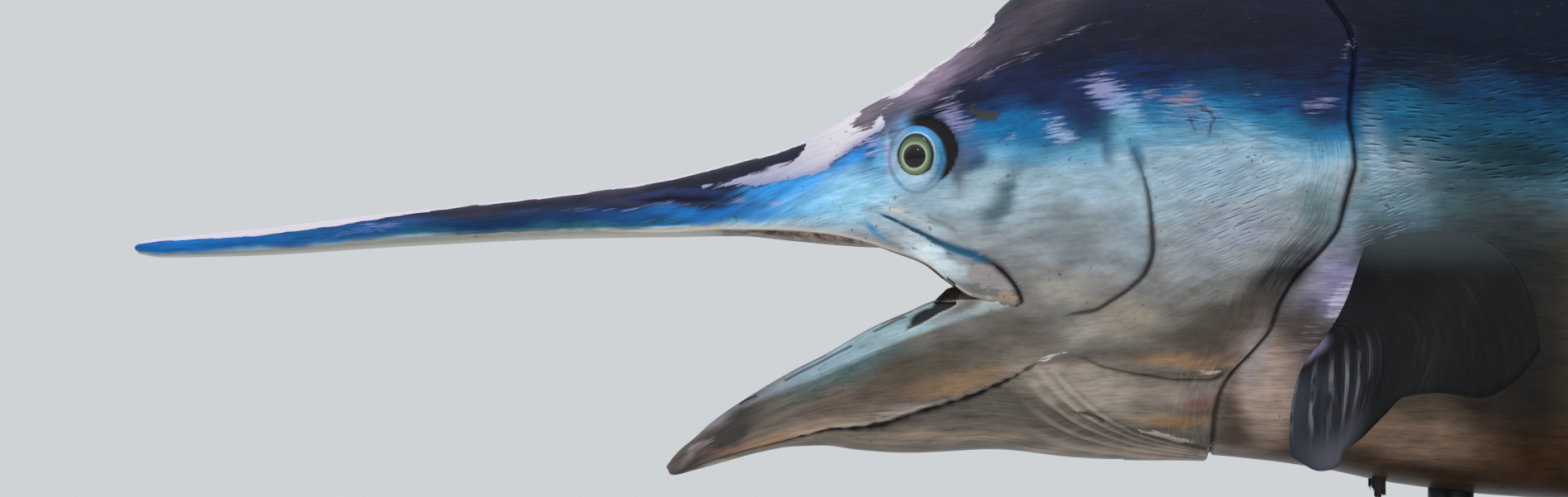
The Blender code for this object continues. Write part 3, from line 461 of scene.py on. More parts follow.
shell = flat
girth_layer = shell.verts.layers.float.new("girth")
mouth_layer = shell.verts.layers.float.new("mouth")
shell.verts.ensure_lookup_table()
for number, vert in enumerate(shell.verts):
    vert[girth_layer] = girth_at[number]
    vert[mouth_layer] = mouth_at[number]
    vert.co = (laid[number, 0] - LENGTH / 2, -laid[number, 1] if laid[number, 1] > 1e-6 else 0.0,
               laid[number, 2] + AXIS_HEIGHT)
bmesh.ops.mirror(shell, geom=shell.verts[:] + shell.edges[:] + shell.faces[:], axis="Y", merge_dist=-1.0)
bmesh.ops.remove_doubles(shell, verts=shell.verts, dist=MERGE_DISTANCE)
bmesh.ops.dissolve_degenerate(shell, edges=shell.edges, dist=MERGE_DISTANCE)
tail_point = [vert for vert in shell.verts if vert.co.x > BODY_END - LENGTH / 2 - 0.0001]
bmesh.ops.pointmerge(shell, verts=tail_point, merge_co=(BODY_END - LENGTH / 2, 0.0, AXIS_HEIGHT))


# %% Close the throat
THROAT_DEPTH = 0.128
THROAT_STEPS = ((0.03, 0.93, 0.97), (0.07, 0.82, 0.9), (0.090, 0.74, 0.8), (0.065, 0.60, 0.62),
                (-0.02, 0.5, 0.5), (-0.09, 0.34, 0.4))
start_layer = shell.verts.layers.float_vector.new("start")
throat_edge = [edge for edge in shell.edges if edge.is_boundary]
for vert in {vert for edge in throat_edge for vert in edge.verts}:
    vert[start_layer] = vert.co
for forward, narrow, flatten in THROAT_STEPS:
    made = bmesh.ops.extrude_edge_only(shell, edges=throat_edge)["geom"]
    throat_edge = [part for part in made if isinstance(part, bmesh.types.BMEdge)]
    for vert in {vert for edge in throat_edge for vert in edge.verts}:
        start = vert[start_layer]
        drop = start.z - AXIS_HEIGHT + THROAT_DEPTH
        outer = 1.0
        if forward > 0:
            outer = min(1.0, abs(start.y) / 0.09) * (1 - 0.18 * min(1.0, max(0.0, drop) / 0.02))
        vert[mouth_layer] = 1.0
        vert.co = (start.x - forward * outer, start.y * narrow, AXIS_HEIGHT - THROAT_DEPTH + drop * flatten)
bmesh.ops.holes_fill(shell, edges=throat_edge, sides=0)
bmesh.ops.triangulate(shell, faces=[face for face in shell.faces if len(face.verts) > 4])
bmesh.ops.recalc_face_normals(shell, faces=shell.faces)
print("shell", len(shell.faces), "faces,", sum(len(face.verts) - 2 for face in shell.faces),
      "triangles, open edges", sum(edge.is_boundary for edge in shell.edges))

# %% [markdown]
# The relief is carved by moving each point of the shell out or in along its normal. One function per
# kind of crease keeps it readable: a rounded step where a plate stands proud of what lies behind it,
# and a groove with soft shoulders. The same distances are kept, because painted shade darkens the
# grooves and the painter's strokes follow the edges of the plates.

# %% Tools for carving
GILL_TOP_FADE = (0.20, 0.27)


def groove(distance, width):
    """A soft-shouldered groove, 1 deep at the middle of its path."""
    return np.exp(-(distance / width) ** 2)


def plate(distance, reach, roll):
    """A plate that is full height near its edge, rolls over within the roll and fades over the reach."""
    return rounded(distance, roll) * (1 - ease(distance / reach))


def patch_axes(s, h, place, size, tilt):
    """How far each point lies along and across an oval patch, in its half sizes."""
    along, across, turn = s - place[0], h - place[1], radians(tilt)
    return ((along * cos(turn) + across * sin(turn)) / size[0],
            (across * cos(turn) - along * sin(turn)) / size[1])


def spot(s, h, place, size, tilt=0.0):
    """A soft round or oval patch, 1 at its middle."""
    u, v = patch_axes(s, h, place, size, tilt)
    return np.exp(-(u * u + v * v))


def rough(s, h, y, scale, seed=0.0):
    """Smooth random values between about -1 and 1, one for each place."""
    return np.array([noise.noise(Vector((a * scale + seed, b * scale, c * scale)))
                     for a, b, c in zip(s, h, y)])


# %% Carve the shell
shell.normal_update()
place = np.array([vert.co for vert in shell.verts])
normal = np.array([vert.normal for vert in shell.verts])
girth = np.array([vert[girth_layer] for vert in shell.verts])
inside = np.array([vert[mouth_layer] for vert in shell.verts]) > 0.5
s, h = place[:, 0] + LENGTH / 2, place[:, 2] - AXIS_HEIGHT
on_lip = (np.abs(h - flank(s)) < 0.0006) & (np.abs(place[:, 1]) > 0.97 * flank_width(s))
jaw_s = np.maximum(s, JAW_TIP)
on_rim = (np.abs(h - rim(jaw_s)) < 0.0006) & (np.abs(place[:, 1]) > 0.97 * jaw_width(jaw_s))
inside &= ~((s < MOUTH_CORNER - 0.002) & (on_lip | on_rim))
left = place[:, 1] < 0
out = np.where(inside, 0.0, 1.0)
head = ease((s - 0.66) / 0.1)
wander = rough(s, h, place[:, 1], 90.0)

gill_gap, _, _ = nearest(GILL_PATH, s, h, 0.09)
ahead = s < gill(h)
gill_fade = 1 - ease((h - GILL_TOP_FADE[0]) / (GILL_TOP_FADE[1] - GILL_TOP_FADE[0]))
roll = 0.006 + 0.026 * ease((-0.02 - h) / 0.06) * ease((h + 0.23) / 0.05)
gill_width = np.interp(h, (-0.29, -0.15, -0.06, 0.0, 0.06, 0.1, 0.2),
                       (0.0017, 0.0013, 0.0016, 0.0024, 0.0022, 0.0009, 0.0007))
gill_groove = groove(gill_gap - 0.0016 * np.where(ahead, -1, 1), gill_width) * gill_fade
relief = gill_fade * np.where(ahead, 0.0045 * plate(gill_gap, 0.13, roll),
                              -0.0025 * (1 - ease(gill_gap / 0.10)))
relief -= 0.0065 * gill_groove

cheek_gap, cheek_share, cheek_side = nearest(CHEEK_PATH, s, h, 0.07)
in_cheek = cheek_side < 0
cheek_fade = ease((cheek_share - 0.05) / 0.25) * ease((1.02 - cheek_share) / 0.12)
cheek_width = 0.0014 + 0.0014 * groove(cheek_share - 0.58, 0.16)
cheek_groove = (groove(cheek_gap, cheek_width) * ease((cheek_share - 0.22) / 0.22)
                * ease((1.02 - cheek_share) / 0.1))
relief += cheek_fade * np.where(in_cheek, 0.004 * plate(cheek_gap, 0.06, 0.009),
                                -0.0015 * (1 - ease(cheek_gap / 0.03)))
relief -= 0.0032 * cheek_groove
valley_gap, valley_share, _ = nearest(VALLEY_PATH, s, h, 0.06)
relief -= 0.0035 * groove(valley_gap, 0.018) * ease(valley_share / 0.4) * ease((1.05 - valley_share) / 0.4)

low_gap, low_share, low_side = nearest(PLATE_PATH, s, h, 0.07)
on_plate = low_side < 0
in_plate = (s > 1.104) | ((h > 0.02) & (s > 1.08))
low_fade = ease(low_share / 0.06) * ease((1.0 - low_share) / 0.2)
low_groove = groove(low_gap, 0.0018) * ease((1.0 - low_share) / 0.3)
relief += low_fade * np.where(on_plate & ahead, 0.0035 * plate(low_gap, 0.05, 0.008),
                              -0.001 * (1 - ease(low_gap / 0.03)) * ahead)
relief -= 0.0025 * low_groove * ahead

jaw_gap, jaw_share, jaw_side = nearest(JAW_PATH, s, h, 0.05)
ragged = np.abs(jaw_gap + 0.0030 * wander * ease((jaw_share - 0.2) / 0.2))
jaw_width_here = 0.0013 + 0.0030 * groove(jaw_share - 0.56, 0.18)
jaw_ledge = (groove(jaw_gap - 0.0055 - 0.0015 * wander, 0.0016) * (jaw_side > 0)
             * groove(jaw_share - 0.52, 0.2))
jaw_groove = groove(ragged, jaw_width_here) * ease(jaw_share / 0.1) * ease((1.0 - jaw_share) / 0.15)
relief += (np.where(jaw_side > 0, 0.0012, -0.0012) * (1 - ease(jaw_gap / 0.03))
           * ease((1 - jaw_share) / 0.2))
relief -= 0.0035 * jaw_groove
print("carved the gill opening, cheek, plate and jaw lines")

# %% Carve the mouth corner, the eye ring and the throat folds
lip_gap, lip_share, lip_side = nearest(LIP_GROOVE, s, h, 0.06)
lip_width = 0.0018 + 0.0046 * groove(lip_share - 0.60, 0.24)
lip_groove = groove(lip_gap, lip_width) * ease(lip_share / 0.12)
below_lip = lip_side < 0
over_corner = h > -0.1285
relief += 0.0035 * np.where(below_lip, plate(lip_gap, 0.045, 0.007), 0.0) * ease(lip_share / 0.3) * over_corner
relief -= 0.0032 * lip_groove
ridge_gap, _, ridge_side = nearest(LIP_RIDGE, s, h, 0.03)
ridge_shadow = groove(ridge_gap - 0.0045, 0.0011) * (ridge_side > 0)
relief += 0.0016 * groove(ridge_gap, 0.0038)
fold_gap, fold_share, _ = nearest(LIP_FOLD, s, h, 0.02)
relief -= 0.0012 * groove(fold_gap, 0.0022) * ease((1 - fold_share) / 0.2)

eye_s, eye_h = s - EYE_PLACE[0], h - EYE_PLACE[1]
eye_gap = np.hypot(eye_s / 0.95, eye_h)
ring_s, ring_h = (s - RING_PLACE[0]) / RING_SIZE[0], (h - RING_PLACE[1]) / RING_SIZE[1]
ring_gap = (np.hypot(ring_s, ring_h) - 1) * RING_SIZE[0]
socket_gap = np.hypot(s - SOCKET_PLACE[0], h - SOCKET_PLACE[1]) - SOCKET_REACH
relief += (0.004 + 0.15 * np.clip(eye_s, -0.03, 0.03)) * ease(-ring_gap / 0.010)
relief -= 0.008 * (1 - ease((eye_gap - 0.0185) / 0.003))
socket = (ease((ring_gap + 0.0015) / 0.003) * ease((0.0005 - socket_gap) / 0.003)
          * ease((s - 0.832) / 0.020))
relief -= 0.0055 * socket
ring_line = groove(ring_gap, 0.0012) * (1 - socket)
relief -= 0.0008 * ring_line

fold_step = 0.0165 * np.exp(-(s - 1.008) / 0.08)
fold_at = (h - belly(s)) / fold_step
fold_zone = (ease((s - 0.95) / 0.06) * ease((1.172 - s) / 0.02) * ease((fold_at - 0.2) / 0.8)
             * ease((6.0 - fold_at) / 0.8) * ahead)
fold_zone *= ease((-0.196 - 0.12 * (s - 1.0) - h) / 0.012)
relief += 0.15 * np.minimum(fold_step, 0.018) * np.cos(2 * pi * fold_at) * fold_zone
trough_gap, trough_share, _ = nearest(FOLD_TROUGH, s, h, 0.02)
trough = groove(trough_gap, 0.0008 + 0.0016 * trough_share) * ease(trough_share / 0.5)

streak_gap, streak_share, _ = nearest(BILL_STREAK, s, h, 0.02)
streak = groove(streak_gap, 0.0032) * ease(streak_share / 0.3) * ease((1 - streak_share) / 0.2)
relief -= 0.0015 * streak
relief -= 0.0030 * spot(s, h, (0.946, -0.012), (0.016, 0.030), -6)
cracked = np.max([depth * groove(nearest(path, s, h, 0.02)[0], 0.0012)
                  for path, depth in zip(CRACKS, CRACK_DEPTHS)], axis=0)
relief -= 0.0012 * cracked
fin_root = spot(s, h, (1.296, -0.118), (0.034, 0.045), 15)
relief += 0.006 * fin_root * ~ahead

chip_inside = ((h < np.interp(s, *CHIP_TOP.T)) & (h > np.interp(s, *CHIP_LOW.T))
               & (s > CHIP_LOW[0, 0]) & (s < CHIP_END) & left)
chip_low_gap = nearest(CHIP_LOW, s, h, 0.02)[0]
chip_edge = np.minimum(nearest(CHIP_TOP, s, h, 0.02)[0], chip_low_gap)
chip_lip = groove(chip_low_gap, 0.0012) * left * ~chip_inside
chip = np.where(chip_inside, ease((chip_edge + 0.001 * wander) / 0.0015), 0.0)
relief -= 0.005 * chip

relief += 0.0007 * rough(s, h, place[:, 1], 14.0, 5.0) * head
relief *= out
place = place + normal * relief[:, None]
place[np.abs(normal[:, 1]) < 1e-4, 1] = 0.0
for number, vert in enumerate(shell.verts):
    vert.co = place[number]
print("relief from", round(1000 * relief.min(), 1), "to", round(1000 * relief.max(), 1), "mm")

# %% [markdown]
# The painter worked in bands: navy on the back, royal blue, turquoise, silver, warm grey and brown. Each
# border between two bands is a curve along the fish, so one number per point, the band, says where it
# lies between them. Chipped, stained or warmer places, painted shade and painted highlights are soft
# patches, and the shader tears their edges.

# %% Paint maps on the skin
def straight(points):
    """A plain straight-sided curve, read at the station of each point of the skin."""
    return np.interp(s, *zip(*points))


BAND_ENDS = (
    [(0.0, -0.0645), (0.6277, -0.0164), (0.6815, -0.0093), (0.7172, -0.0013), (0.753, 0.0111), (0.7886, 0.0414),
     (0.8153, 0.0663), (0.8509, 0.0768), (0.8952, 0.0776), (0.9306, 0.0855), (0.9748, 0.0906),
     (1.0189, 0.11), (1.0629, 0.1169), (1.1067, 0.114), (1.1506, 0.1227), (1.1945, 0.1252),
     (1.247, 0.1232), (1.282, 0.109), (1.3171, 0.109), (1.3523, 0.116), (1.4137, 0.1194),
     (1.5444, 0.1263), (1.8, 0.13), (2.3, 0.11), (2.9, 0.06), (3.45, 0.025)],
    [(0.0, -0.0655), (0.6277, -0.0335), (0.6815, -0.0272), (0.7172, -0.0192), (0.753, -0.0121), (0.7886, 0.0084),
     (0.8153, 0.0261), (0.8509, 0.0439), (0.8952, 0.0571), (0.9306, 0.0615), (0.9748, 0.0658),
     (1.0365, 0.0655), (1.0629, 0.0876), (1.1067, 0.0874), (1.1506, 0.09), (1.1945, 0.0872),
     (1.247, 0.065), (1.282, 0.056), (1.3171, 0.0604), (1.3523, 0.0842), (1.4137, 0.093),
     (1.5015, 0.0735), (1.8, 0.07), (2.3, 0.055), (2.9, 0.025), (3.45, 0.008)],
    [(0.0, -0.0665), (0.6277, -0.0425), (0.6815, -0.0407), (0.7172, -0.0371), (0.753, -0.0336), (0.7886, -0.0184),
     (0.8153, -0.0095), (0.8509, -0.0007), (0.8952, 0.0082), (0.9306, 0.0214), (0.9748, 0.0231),
     (1.0189, 0.023), (1.0365, 0.0168), (1.0629, 0.03), (1.1067, 0.0343), (1.1506, 0.0431),
     (1.1945, 0.0518), (1.247, 0.034), (1.282, 0.0252), (1.3171, 0.034), (1.3523, 0.0401),
     (1.4137, 0.0295), (1.5015, -0.0014), (1.8, -0.01), (2.3, -0.01), (2.9, -0.01), (3.45, -0.008)],
    [(0.0, -0.0747), (0.3042, -0.0603), (0.6277, -0.0541), (0.753, -0.0586), (0.8153, -0.0675),
     (0.8509, -0.0675), (0.8952, -0.0586), (0.9306, -0.0408), (0.9748, -0.0453), (1.0189, -0.0498),
     (1.0629, -0.0586), (1.1067, -0.0675), (1.1506, -0.0675), (1.1945, -0.0587), (1.247, -0.041),
     (1.282, -0.0322), (1.3171, -0.0058), (1.3523, -0.0014), (1.4137, -0.0102), (1.5015, -0.0235),
     (1.8, -0.045), (2.3, -0.045), (2.9, -0.035), (3.45, -0.02)],
    [(0.0, -0.09), (0.58, -0.12), (0.8864, -0.1521), (0.9306, -0.1431), (0.9748, -0.1519),
     (1.0189, -0.1651), (1.0629, -0.1694), (1.1067, -0.1605), (1.1506, -0.1516), (1.1945, -0.1382),
     (1.247, -0.1293), (1.282, -0.1381), (1.3171, -0.1558), (1.3698, -0.1734), (1.4137, -0.191),
     (1.5015, -0.1997), (1.8, -0.21), (2.3, -0.17), (2.9, -0.10), (3.45, -0.035)])
# On the bill a border is a share of its height at a few stations, down from the top.
BILL_BORDERS = (
    [(0.0, 0.01), (0.13, 0.01), (0.2, 0.02), (0.26, 0.12), (0.34, 0.36), (0.46, 0.44), (0.6, 0.50)],
    [(0.0, 0.70), (0.13, 0.48), (0.2, 0.44), (0.26, 0.50), (0.34, 0.64), (0.46, 0.74), (0.6, 0.80)],
    [(0.0, 0.82), (0.13, 0.76), (0.2, 0.72), (0.26, 0.68), (0.34, 0.68), (0.46, 0.74), (0.6, 0.80)],
    [(0.0, 0.88), (0.13, 0.82), (0.2, 0.79), (0.26, 0.75), (0.34, 0.75), (0.46, 0.80), (0.6, 0.87)],
    [(0.0, 1.6), (0.6, 1.6)])
bill_thick = back(s) - palate(s)
on_head = ease((s - 0.58) / 0.08)
borders = [back(s)]
for points, bill_points in zip(BAND_ENDS, BILL_BORDERS):
    bill_border = back(s) - straight(bill_points) * bill_thick
    borders.append(curve(points)(s) * on_head + bill_border * (1 - on_head))
borders.append(belly(np.maximum(s, JAW_TIP)) - 0.03)
band = sum(np.clip((upper - h) / np.maximum(upper - lower, 0.002), 0.0, 1.0)
           for upper, lower in zip(borders, borders[1:]))
JAW_LIGHT_LOW = [(0.58, -0.262), (0.6275, -0.2542), (0.6635, -0.2414), (0.7137, -0.2223), (0.753, -0.2061),
                 (0.7976, -0.1854), (0.8421, -0.1665), (0.8864, -0.1512), (0.9306, -0.1369), (0.9465, -0.1351)]
jaw_light_low = straight(JAW_LIGHT_LOW)
paint_s = s + 0.009 * rough(s, h, place[:, 1], 22.0, 3.0) + 0.004 * rough(s, h, place[:, 1], 70.0, 8.0)
paint_h = h + 0.007 * rough(s, h, place[:, 1], 25.0, 13.0) + 0.003 * rough(s, h, place[:, 1], 80.0, 21.0)
# Painted shade: darker paint in the creases, cracks, throat fold, eye socket, chipped jaw rim and the back of the
# mouth corner.
crease_shade = np.clip(gill_groove + 0.9 * cheek_groove + 0.7 * low_groove * ahead + 1.1 * jaw_groove + 0.95 * chip
               + 1.0 * socket + 0.4 * ring_line + 0.9 * cracked + 0.75 * trough
               + 0.95 * lip_groove * ease((lip_share - 0.64) / 0.16) + 0.5 * ridge_shadow
               + 0.4 * groove(lip_gap, 0.0012) * ease(lip_share / 0.12) + 0.8 * inside * ease((s - 0.85) / 0.03), 0, 1)
aft = ease((s - gill(h)) / 0.02)
needles_low = 0.03 * ease((1.43 - s) / 0.05) - 0.03
needles = (aft * ease((0.165 - h) / 0.03) * ease((h - needles_low) / 0.03) * ease((2.2 - s) / 0.5)
           + 0.8 * spot(s, h, (1.15, 0.075), (0.07, 0.025)))
by_gill = ease((0.075 - gill_gap) / 0.05) * ahead * ease((0.07 - h) / 0.04)
sweep = ease((s - 1.04) / 0.04) * ahead * ease((0.04 - h) / 0.04) * ease((h + 0.17) / 0.05)
print("dirt and strokes follow the creases")

# %% Soft washes of paint
# Each wash: station, height, half length, half height, tilt, colour, strength
WASHES = (
    (0.868, -0.076, 0.052, 0.013, -31, (0.56, 0.66, 0.7), 0.9),  # pale plate under the lip groove
    (0.802, -0.050, 0.016, 0.0045, -38, (0.02, 0.20, 0.38), 0.85),  # blue stroke on the lip
    # Next row: pale paint along the ridge over the lip, a painted highlight.
    (0.850, -0.036, 0.045, 0.008, -28, (0.43, 0.52, 0.56), 0.85),  # pale ridge over the lip
    (1.000, 0.055, 0.038, 0.013, 0, (0.008, 0.085, 0.19), 1),  # turquoise cheek
    (0.50, -0.0345, 0.10, 0.0065, 4, (0.004, 0.04, 0.14), 0.85),  # dark blue low on the bill
    (0.745, -0.262, 0.050, 0.010, 13, (0.42, 0.32, 0.25), 0.85),  # pale ridge of the jaw
    # Next row: teal painted shade along the top of the cheek line.
    (1.083, 0.035, 0.006, 0.022, 12, (0.012, 0.12, 0.22), 0.75),  # teal over the cheek line
    (0.06, -0.0645, 0.075, 0.0085, 4, (0.004, 0.13, 0.42), 0.95),  # azure tip of the bill
    (0.22, -0.055, 0.11, 0.0085, 6, (0.004, 0.085, 0.30), 0.9),  # royal blue of the bill
    (0.40, -0.0385, 0.09, 0.009, 6, (0.003, 0.020, 0.066), 0.9),  # blue further up the bill
    (0.50, -0.003, 0.17, 0.009, 8, (0.035, 0.027, 0.05), 0.8),  # violet top of the bill
    (0.46, -0.0465, 0.17, 0.0045, 3, (0.02, 0.09, 0.13), 0.8),  # teal under the blue
    (0.640, -0.0290, 0.075, 0.0075, 2, (0.012, 0.15, 0.46), 0.9),  # royal blue under the streak
    (0.600, -0.0095, 0.080, 0.0045, 3, (0.012, 0.022, 0.085), 0.85),  # dark blue over the streak
    (0.605, -0.0185, 0.062, 0.0048, 0, (0.004, 0.005, 0.020), 1.0),  # navy streak of the snout
    (0.872, 0.120, 0.055, 0.021, 34, (0.225, 0.165, 0.235), 0.9),  # brown violet brow
    (0.982, 0.181, 0.07, 0.022, 30, (0.075, 0.06, 0.08), 0.85),  # brown violet crown
    (0.803, 0.077, 0.036, 0.015, 42, (0.13, 0.10, 0.13), 0.97),  # violet island in the strip
    (0.829, 0.073, 0.029, 0.008, 33, (0.05, 0.045, 0.085), 0.9),  # dark violet over the eye
    (0.962, 0.11, 0.049, 0.02, 5, (0.009, 0.014, 0.05), 0.9),  # navy under the brow
    (1.152, 0.168, 0.151, 0.034, 0, (0.008, 0.009, 0.018), 0.9),  # navy back of the head
    (0.735, -0.010, 0.045, 0.015, 14, (0.13, 0.42, 0.78), 0.85),  # azure snout
    (0.716, 0.0035, 0.046, 0.0095, 17, (0.03, 0.27, 0.66), 0.97),  # azure under the pale streak
    (0.78, 0.027, 0.025, 0.007, 42, (0.015, 0.22, 0.62), 0.9),  # azure under the strip
    (0.785, -0.012, 0.045, 0.025, 12, (0.3, 0.59, 0.78), 0.85),  # light snout
    (0.814, 0.032, 0.008, 0.02, 0, (0.05, 0.33, 0.6), 0.7),  # turquoise before the eye
    (0.958, 0.058, 0.045, 0.020, 0, (0.004, 0.13, 0.32), 0.9),  # blue behind the eye
    (0.913, 0.028, 0.011, 0.012, 0, (0.012, 0.03, 0.1), 0.8),  # deep blue by the eye
    (0.979, 0.03, 0.04, 0.012, 0, (0.07, 0.26, 0.4), 0.7),  # pale turquoise cheek
    # Next row: dark teal painted shade in the dimple.
    (0.942, -0.016, 0.036, 0.014, 62, (0.035, 0.085, 0.105), 0.85),  # dimple
    (0.904, -0.014, 0.025, 0.018, 0, (0.42, 0.56, 0.6), 0.6),  # pale before the dimple
    (1.014, -0.05, 0.037, 0.043, 0, (0.17, 0.2, 0.215), 0.8),  # grey cheek
    (1.08, -0.059, 0.018, 0.049, 0, (0.23, 0.3, 0.34), 0.6),  # cheek by its line
    (1.01, -0.112, 0.049, 0.02, 10, (0.27, 0.25, 0.22), 0.8),  # warm low cheek
    # Next row: navy painted shade at the top of the valley.
    (1.028, 0.080, 0.034, 0.022, -20, (0.011, 0.018, 0.065), 0.92),  # navy dip
    # Next row: teal painted shade down the valley.
    (1.054, 0.042, 0.009, 0.030, 8, (0.02, 0.09, 0.16), 0.75),  # teal dip
    (1.076, 0.065, 0.015, 0.023, 0, (0.13, 0.34, 0.47), 0.8),  # pale behind the dip
    (1.195, 0.109, 0.049, 0.015, -3, (0.006, 0.035, 0.09), 0.9),  # blue top of the plate
    (1.285, 0.081, 0.028, 0.023, 0, (0.009, 0.018, 0.065), 0.95),  # navy by the gill
    (1.234, 0.072, 0.04, 0.009, -12, (0.012, 0.14, 0.27), 0.85),  # turquoise under the blue
    (1.168, 0.016, 0.057, 0.027, 0, (0.25, 0.37, 0.47), 0.75),  # pale plate
    (1.185, -0.054, 0.053, 0.021, 20, (0.29, 0.31, 0.38), 0.7),  # lilac plate
    (1.279, -0.023, 0.022, 0.026, 10, (0.11, 0.19, 0.2), 0.8),  # teal shade
    (1.249, -0.108, 0.056, 0.028, 55, (0.005, 0.0045, 0.004), 1.0),  # brown black shade
    (1.212, -0.142, 0.062, 0.027, 38, (0.022, 0.017, 0.014), 0.97),  # brown shade
    (1.165, -0.150, 0.065, 0.022, 14, (0.07, 0.056, 0.045), 0.85),  # dark speckle
    (1.141, -0.189, 0.049, 0.007, -2, (0.3, 0.18, 0.095), 0.9),  # tan patch
    (1.073, -0.145, 0.037, 0.023, 10, (0.31, 0.26, 0.2), 0.8),  # grey low plate
    (1.023, -0.158, 0.023, 0.012, 15, (0.36, 0.33, 0.29), 0.7),  # light hinge
    (0.78, -0.200, 0.07, 0.012, 24, (0.085, 0.15, 0.15), 0.85),  # teal jaw
    (0.864, -0.196, 0.075, 0.02, 16, (0.08, 0.064, 0.044), 0.85),  # brown jaw
    (0.944, -0.17, 0.044, 0.027, 20, (0.1, 0.085, 0.07), 0.8),  # brown jaw rear
    (0.895, -0.214, 0.06, 0.010, 13, (0.26, 0.16, 0.085), 0.85),  # golden jaw
    (0.784, -0.239, 0.067, 0.012, 13, (0.12, 0.085, 0.065), 0.8),  # mid jaw
    (0.640, -0.272, 0.052, 0.015, 38, (0.045, 0.036, 0.038), 0.9),  # dark tip
    (0.635, -0.251, 0.032, 0.004, 38, (0.25, 0.22, 0.26), 0.7),  # grey top of the tip
    (0.593, -0.307, 0.01, 0.011, 0, (0.12, 0.095, 0.085), 0.9),  # knob
    (0.69, -0.277, 0.049, 0.005, 13, (0.36, 0.205, 0.12), 0.9),  # orange ridge
    (0.663, -0.299, 0.052, 0.005, 15, (0.45, 0.37, 0.29), 0.8),  # pale lower edge
    (0.878, -0.273, 0.107, 0.008, 3, (0.33, 0.25, 0.185), 0.8),  # tan under the crack
    (0.849, -0.241, 0.021, 0.005, 12, (0.27, 0.215, 0.205), 0.8),  # lilac over the crack
    (1.035, -0.217, 0.07, 0.03, -15, (0.38, 0.32, 0.255), 0.9),  # light throat
    (1.135, -0.222, 0.04, 0.016, 0, (0.3, 0.23, 0.2), 0.8),  # pink throat
    (1.131, -0.251, 0.041, 0.007, -4, (0.32, 0.18, 0.085), 0.85),  # orange throat
    (1.156, -0.234, 0.013, 0.007, 0, (0.2, 0.095, 0.075), 0.8),  # red throat
    (1.066, -0.287, 0.116, 0.007, 0, (0.4, 0.29, 0.22), 0.8),  # lowest throat
    (1.338, 0.021, 0.013, 0.046, 0, (0.26, 0.4, 0.5), 0.95),  # pale strip behind the gill
    (1.313, -0.039, 0.013, 0.032, -25, (0.25, 0.37, 0.45), 0.9),  # pale strip lower
    (1.279, -0.094, 0.0115, 0.042, -42, (0.34, 0.34, 0.4), 0.85),  # pale strip by the fin
    (1.363, 0.078, 0.033, 0.03, 0, (0.008, 0.098, 0.2), 0.95),  # needle turquoise
    (1.416, 0.119, 0.023, 0.023, 0, (0.009, 0.012, 0.026), 0.95),  # dark gap
    (1.462, 0.102, 0.04, 0.019, 5, (0.005, 0.04, 0.105), 0.9),  # blue flank
    (1.42, 0.051, 0.026, 0.013, 0, (0.007, 0.078, 0.14), 0.85),  # turquoise flank
    (1.487, 0.025, 0.07, 0.03, 0, (0.006, 0.027, 0.037), 0.85),  # teal flank
    (1.373, 0.007, 0.022, 0.025, -30, (0.22, 0.3, 0.36), 0.7),  # pale lower strip
    (1.400, -0.020, 0.066, 0.016, 0, (0.055, 0.105, 0.12), 0.85),  # grey flank
    # Next row: painted shadow of the pectoral fin on the flank.
    (1.420, -0.103, 0.108, 0.052, 0, (0.007, 0.007, 0.007), 1.0),  # dark over the fin
    (1.372, -0.026, 0.045, 0.022, -15, (0.13, 0.235, 0.285), 0.8),  # pale teal over the fin
    # Next row: painted shade on the belly behind and under the fin.
    (1.465, -0.238, 0.055, 0.020, 0, (0.022, 0.014, 0.011), 0.9),  # dark belly behind the fin
    (1.303, -0.113, 0.030, 0.029, 15, (0.30, 0.28, 0.45), 1.0),  # lilac fin root
    (1.268, -0.182, 0.024, 0.038, 0, (0.055, 0.042, 0.038), 0.9),  # scruffy fin root
    (1.227, -0.225, 0.032, 0.055, 5, (0.46, 0.335, 0.27), 0.95),  # pink belly
    (1.212, -0.192, 0.012, 0.037, -10, (0.34, 0.3, 0.3), 0.85),  # light belly band
    (1.39, -0.272, 0.085, 0.026, -8, (0.36, 0.24, 0.16), 0.9),  # golden belly
    (1.514, -0.28, 0.062, 0.037, 0, (0.075, 0.032, 0.014), 0.95),  # dark belly
    # Next row: painted shade beside the fin, in brown.
    (1.520, -0.16, 0.060, 0.08, 0, (0.034, 0.028, 0.022), 0.95),  # brown by the fin
    (1.522, -0.150, 0.034, 0.080, -8, (0.010, 0.010, 0.009), 0.92),  # shade behind the rim of the fin
    (1.512, -0.208, 0.042, 0.034, 35, (0.014, 0.011, 0.010), 0.88),  # shade at the lower corner of the fin
    (1.505, -0.085, 0.050, 0.022, -50, (0.014, 0.015, 0.015), 0.85),  # shade at the upper corner of the fin
    (1.425, -0.058, 0.085, 0.018, 0, (0.040, 0.052, 0.056), 0.8),  # shade over the top of the fin
    (1.572, -0.16, 0.030, 0.10, 0, (0.085, 0.062, 0.028), 0.85),  # olive stain of the flank
    # Next row: dark violet painted shadow along the rear edge of the eye socket.
    (0.893, 0.030, 0.010, 0.036, 0, (0.035, 0.028, 0.07), 0.85),  # dark violet edge of the socket
    (0.852, 0.029, 0.028, 0.034, 0, (0.36, 0.52, 0.64), 0.97),  # eyeball ring
    (0.862, 0.055, 0.022, 0.008, -35, (0.04, 0.27, 0.58), 0.9),  # azure over the eyeball
    (0.876, 0.033, 0.006, 0.022, 0, (0.05, 0.30, 0.56), 0.8),  # azure behind the eyeball
    (0.823, 0.033, 0.004, 0.022, 0, (0.40, 0.42, 0.66), 0.7),  # lavender before the eyeball
)


